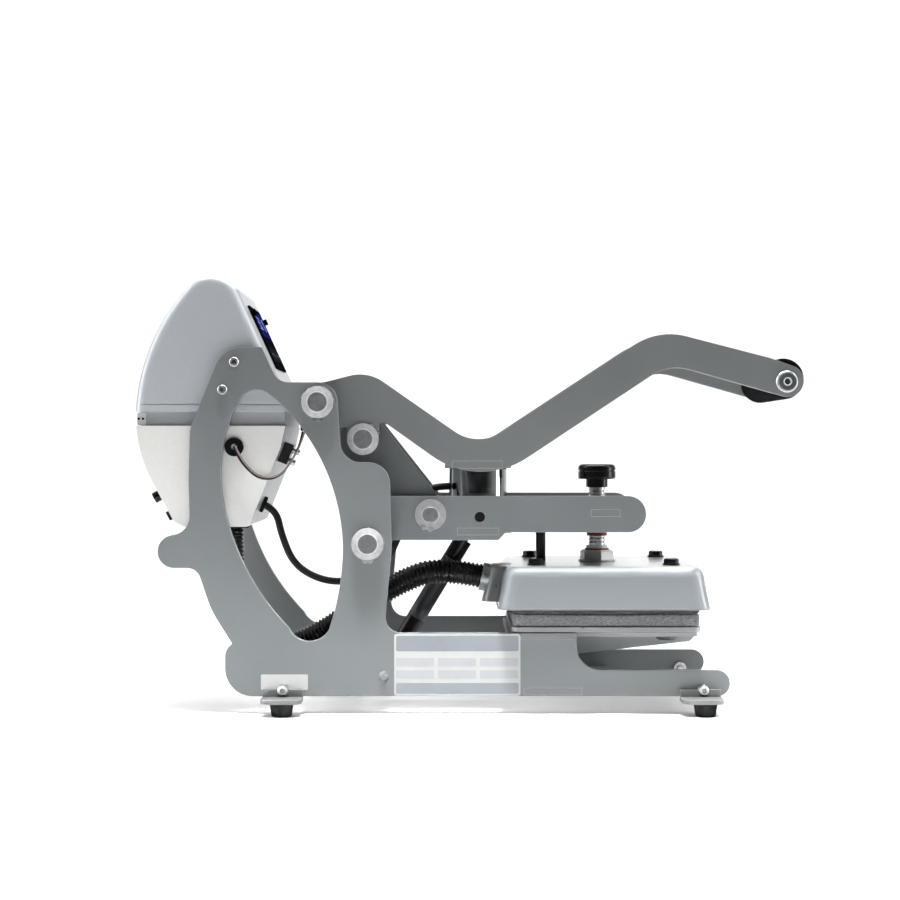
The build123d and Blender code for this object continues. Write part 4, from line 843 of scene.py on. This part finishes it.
# %% Digits and keys
SEGMENTS = {"0": "abcdef", "1": "bc", "3": "abcdg", "5": "acdfg"}
BARS = {"a": (0.12, 0.88, 0.93, 1.0), "b": (0.88, 1.0, 0.53, 0.95), "c": (0.88, 1.0, 0.05, 0.47),
        "d": (0.12, 0.88, 0.0, 0.07), "e": (0.0, 0.12, 0.05, 0.47), "f": (0.0, 0.12, 0.53, 0.95),
        "g": (0.12, 0.88, 0.465, 0.535)}
DIGIT_WIDTH, DIGIT_HEIGHT, DIGIT_LOW, KEY_STEP = 6.2, 11.0, 8.0, 18.0
face_way = Vector((0.9098, 0, 0.4152))
up_slope = Vector((-0.4152, 0, 0.9098))
panel_face = Matrix.Identity(4)
for column, way in enumerate((Vector((0, 1, 0)), up_slope, face_way)):
    panel_face.col[column].xyz = way
panel_face.col[3].xyz = Vector((-167.84, 0, 299.0)) * MM + face_way * 1.4 * MM
glass_face = panel_face @ Matrix.Translation((0, 0, 0.1 * MM))


def digit_rows(text, left):
    """The patches of a number whose first digit starts here, in mm."""
    rows = []
    for place, sign in enumerate(text):
        start = left + place * DIGIT_WIDTH * 1.35
        for x0, x1, y0, y1 in (BARS[bar] for bar in SEGMENTS[sign]):
            rows.append((start + x0 * DIGIT_WIDTH, start + x1 * DIGIT_WIDTH,
                         DIGIT_LOW + y0 * DIGIT_HEIGHT, DIGIT_LOW + y1 * DIGIT_HEIGHT, 0.08, 0.05, 0))
    return rows


patches("display_digits", glass_face, digit_rows("350", -25.0) + digit_rows("10", 8.0),
        [digit_light], "base")
key_rows = [(-33.0 + KEY_STEP * k, -21.0 + KEY_STEP * k, -21.0, -9.0, 0.12, 3.0, 0) for k in range(4)]
key_rows += [(-29.4 + KEY_STEP * k, -24.6 + KEY_STEP * k, -15.6, -14.4, 0.2, 0.3, 1) for k in range(4)]
key_rows += [(-27.6 + KEY_STEP * k, -26.4 + KEY_STEP * k, -17.4, -12.6, 0.2, 0.3, 1) for k in (1, 3)]
key_face = moulded_black("key_film", "1b1d20", "232528", 0.5, 1.2, 0.01, shine=0.0)
key_mark = moulded_black("key_symbols", "5a5e64", "6a6e74", 0.5, 1.2, 0.01, shine=0.0)
patches("touch_keys", panel_face, key_rows, [key_face, key_mark], "base")
print("keypad rows", len(key_rows))

# %% [markdown]
# Small fittings finish the press: the retaining rings on the link's pins show two small ears, a red
# washer lies on the nut that holds the pressure screw, and a small plate with two screws joins the tray
# to the housing at the back.

# %% Small fittings
def ear_pair(name, centre_mm, y_mm, angle, reach, body):
    """The two lugs of a retaining ring, which stand out from under a pin head."""
    mesh = bmesh.new()
    for turn in (angle - 15, angle + 15):
        way = Vector((math.cos(math.radians(turn)), 0, math.sin(math.radians(turn))))
        place = Vector((centre_mm[0], y_mm, centre_mm[1])) * MM + way * reach * MM
        bmesh.ops.create_cone(
            mesh, cap_ends=True, segments=20, radius1=2.1 * MM, radius2=2.1 * MM, depth=1.0 * MM,
            matrix=Matrix.Translation(place) @ Matrix.Rotation(math.radians(90), 4, "X"))
    piece = mesh_piece(name, mesh, zinc, smooth=False)
    softened = piece.modifiers.new("edge", "BEVEL")
    softened.width = 0.2 * MM
    softened.segments = 2
    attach(piece, body)


for side, place in ((-1, "near"), (1, "far")):
    ear_pair(f"lever_ring_ears_{place}", LEVER_PINS, side * 62.5, 40, 12.2, "lever")
    ear_pair(f"link_ring_ears_{place}", LINK_PIN, side * 63.4, 255, 11.6, "arm")

tab_rows = [(-263.6, -256.8, 227.4, 237.4, 0.9, 0.8, 0), (-263.2, -261.4, 231.6, 233.4, 1.4, 0.85, 1),
            (-259.8, -258.0, 231.6, 233.4, 1.4, 0.85, 1)]
patches("housing_tab", near_plane(-66.2), tab_rows, [film_white, plastic], "base")


def round_washer(name, centre_mm, mean_mm, thick_mm, material, body, steps=48, sides=10):
    """A rounded ring lying flat, such as a seal under a nut."""
    mesh = bmesh.new()
    rings = []
    for step in range(steps):
        turn = 2 * math.pi * step / steps
        out = Vector((math.cos(turn), math.sin(turn), 0))
        ring = []
        for k in range(sides):
            angle = 2 * math.pi * k / sides
            away = mean_mm + thick_mm / 2 * math.cos(angle)
            ring.append(mesh.verts.new(Vector(centre_mm) * MM + out * away * MM + Vector(
                (0, 0, thick_mm / 2 * math.sin(angle))) * MM))
        rings.append(ring)
    for here, there in zip(rings, rings[1:] + rings[:1]):
        for k in range(sides):
            after = (k + 1) % sides
            mesh.faces.new((here[k], there[k], there[after], here[after]))
    bmesh.ops.recalc_face_normals(mesh, faces=mesh.faces)
    piece = mesh_piece(name, mesh, material)
    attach(piece, body)


round_washer("retainer_seal", (106.0, 0.0, 126.0), 9.4, 1.3, seal_red, "press_head")
print("fittings placed")

# %% [markdown]
# The gas spring's cylinder wears a smooth dark sleeve round its middle, a little wider than the cylinder.
# It is the same swept tube as the cables, along the straight line from the spring's foot to its head.

# %% Gas spring sleeve
spring_foot, spring_head = Vector((-67.9, 0, 29.4)) * MM, Vector((8.0, 0, 154.5)) * MM
spring_way = (spring_head - spring_foot).normalized()
SLEEVE_START, SLEEVE_END, SLEEVE_RADIUS, SLEEVE_MARGIN = 46, 104, 7.62 * MM, 0.5
sleeve_line = np.array([spring_foot + spring_way * along * MM for along in (SLEEVE_START, SLEEVE_END)])
sleeve_rings = np.linspace(SLEEVE_MARGIN * MM, (SLEEVE_END - SLEEVE_START - SLEEVE_MARGIN) * MM, 6)
sleeve_film = label_film("dark_sleeve_film", "2b2e30", 0.45)
sleeve = swept(
    "gas_spring_sleeve", sleeve_line, sleeve_rings, [SLEEVE_RADIUS] * 6, sleeve_film, sides=40)
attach(sleeve, "strut_body")
print("sleeve mm", SLEEVE_END - SLEEVE_START - 2 * SLEEVE_MARGIN)

# %% [markdown]
# The studio is one white sweep and a few large soft lights. The plates in the photograph are paler near
# the floor than at the top, and polished metal that faces the camera is black. So almost no light comes
# from the camera's side: a narrow strip of light falls on the floor right before the press, and the
# plates are lit by what that bright paper throws back. The paper glows a little under the press, a
# painted light that thins its shadow there. The world is white at the sides and black behind the
# camera.

# %% Floor and lights
SWEEP_RADIUS, GLOW_SHIFT, GLOW_STRENGTH = 1.2, 0.03, 0.46
GLOW_ALONG, GLOW_ACROSS = (0.20, 0.08), (0.085, 0.055)


def stage_floor():
    """Paper that lies flat and curves up behind the press, with a painted glow under it."""
    mesh = bmesh.new()
    profile = [(-3.0, 0.0), (SWEEP_RADIUS, 0.0)]
    for degrees in range(10, 91, 10):
        angle = math.radians(degrees)
        profile.append((SWEEP_RADIUS + SWEEP_RADIUS * math.sin(angle),
                        SWEEP_RADIUS - SWEEP_RADIUS * math.cos(angle)))
    profile.append((2 * SWEEP_RADIUS, 4.0))
    rows = [[mesh.verts.new((x, y, z)) for y, z in profile] for x in (-5.0, 5.0)]
    for k in range(len(profile) - 1):
        mesh.faces.new((rows[0][k], rows[1][k], rows[1][k + 1], rows[0][k + 1]))
    material, tree, surface, place = new_finish("white_paper_sweep", {
        "Roughness": 0.9, "Specular IOR Level": 0.1, "Emission Color": (1.0, 1.0, 1.0, 1.0)})
    fibre = add(tree, "ShaderNodeTexNoise", {"Vector": place, "Scale": per_mm(300), "Detail": 2.0})
    tone = add(tree, "ShaderNodeMapRange", {"Value": fibre, "To Min": 0.90, "To Max": 0.93})
    shifted = add(tree, "ShaderNodeVectorMath", {0: place, 1: (GLOW_SHIFT, 0, 0)}, operation="ADD")
    reach = add(tree, "ShaderNodeVectorMath", {0: shifted}, operation="ABSOLUTE")
    sides = add(tree, "ShaderNodeSeparateXYZ", {0: reach}).outputs
    along, across = [add(tree, "ShaderNodeMapRange", {
        "Value": sides[axis], "From Min": dark, "From Max": full, "To Max": most},
        interpolation_type="SMOOTHSTEP") for axis, (dark, full), most in (
            ("X", GLOW_ALONG, 1.0), ("Y", GLOW_ACROSS, GLOW_STRENGTH))]
    # Painted light: a soft glow in the paper under the press thins its shadow.
    glow = add(tree, "ShaderNodeMath", {0: along, 1: across}, operation="MULTIPLY")
    feed(tree, surface, {"Base Color": tone, "Emission Strength": glow})
    mesh_piece("studio_sweep", mesh, material)


def soft_light(name, place, target, size, power):
    """A rectangular area light that points from its place to its target."""
    light = bpy.data.lights.new(name, "AREA")
    light.shape = "RECTANGLE"
    light.size, light.size_y = size
    light.energy = power
    holder = bpy.data.objects.new(name, light)
    bpy.context.collection.objects.link(holder)
    holder.location = place
    holder.rotation_euler = (Vector(target) - Vector(place)).to_track_quat("-Z", "Y").to_euler()
    return holder


stage_floor()
soft_light("top_softbox", (0.0, 0.05, 1.3), (0, 0, 0.1), (1.3, 0.8), 21)
strip = soft_light("near_strip", (0.0, -0.14, 0.64), (0, -0.14, 0), (0.8, 0.04), 3.4)
strip.data.spread = math.radians(18)
strip.visible_glossy = False
soft_light("left_softbox", (-1.3, -0.1, 0.6), (0, 0, 0.15), (0.5, 1.2), 10)
soft_light("right_softbox", (1.3, -0.1, 0.6), (0, 0, 0.15), (0.4, 1.2), 9)
soft_light("sweep_light", (0.0, 0.9, 2.2), (0, 2.2, 1.0), (3.0, 1.0), 46)

world = bpy.data.worlds.new("soft_studio")
bpy.context.scene.world = world
world.use_nodes = True
sky = world.node_tree
direction = add(sky, "ShaderNodeTexCoord").outputs["Generated"]
behind = add(sky, "ShaderNodeMapRange", {
    "Value": add(sky, "ShaderNodeSeparateXYZ", {0: direction}).outputs["Y"],
    "From Min": -0.95, "From Max": 0.15, "To Min": 0.01, "To Max": 1.0}, interpolation_type="SMOOTHSTEP")
feed(sky, sky.nodes["Background"], {"Color": behind, "Strength": 0.65})
bpy.context.scene.view_settings.view_transform = "Standard"
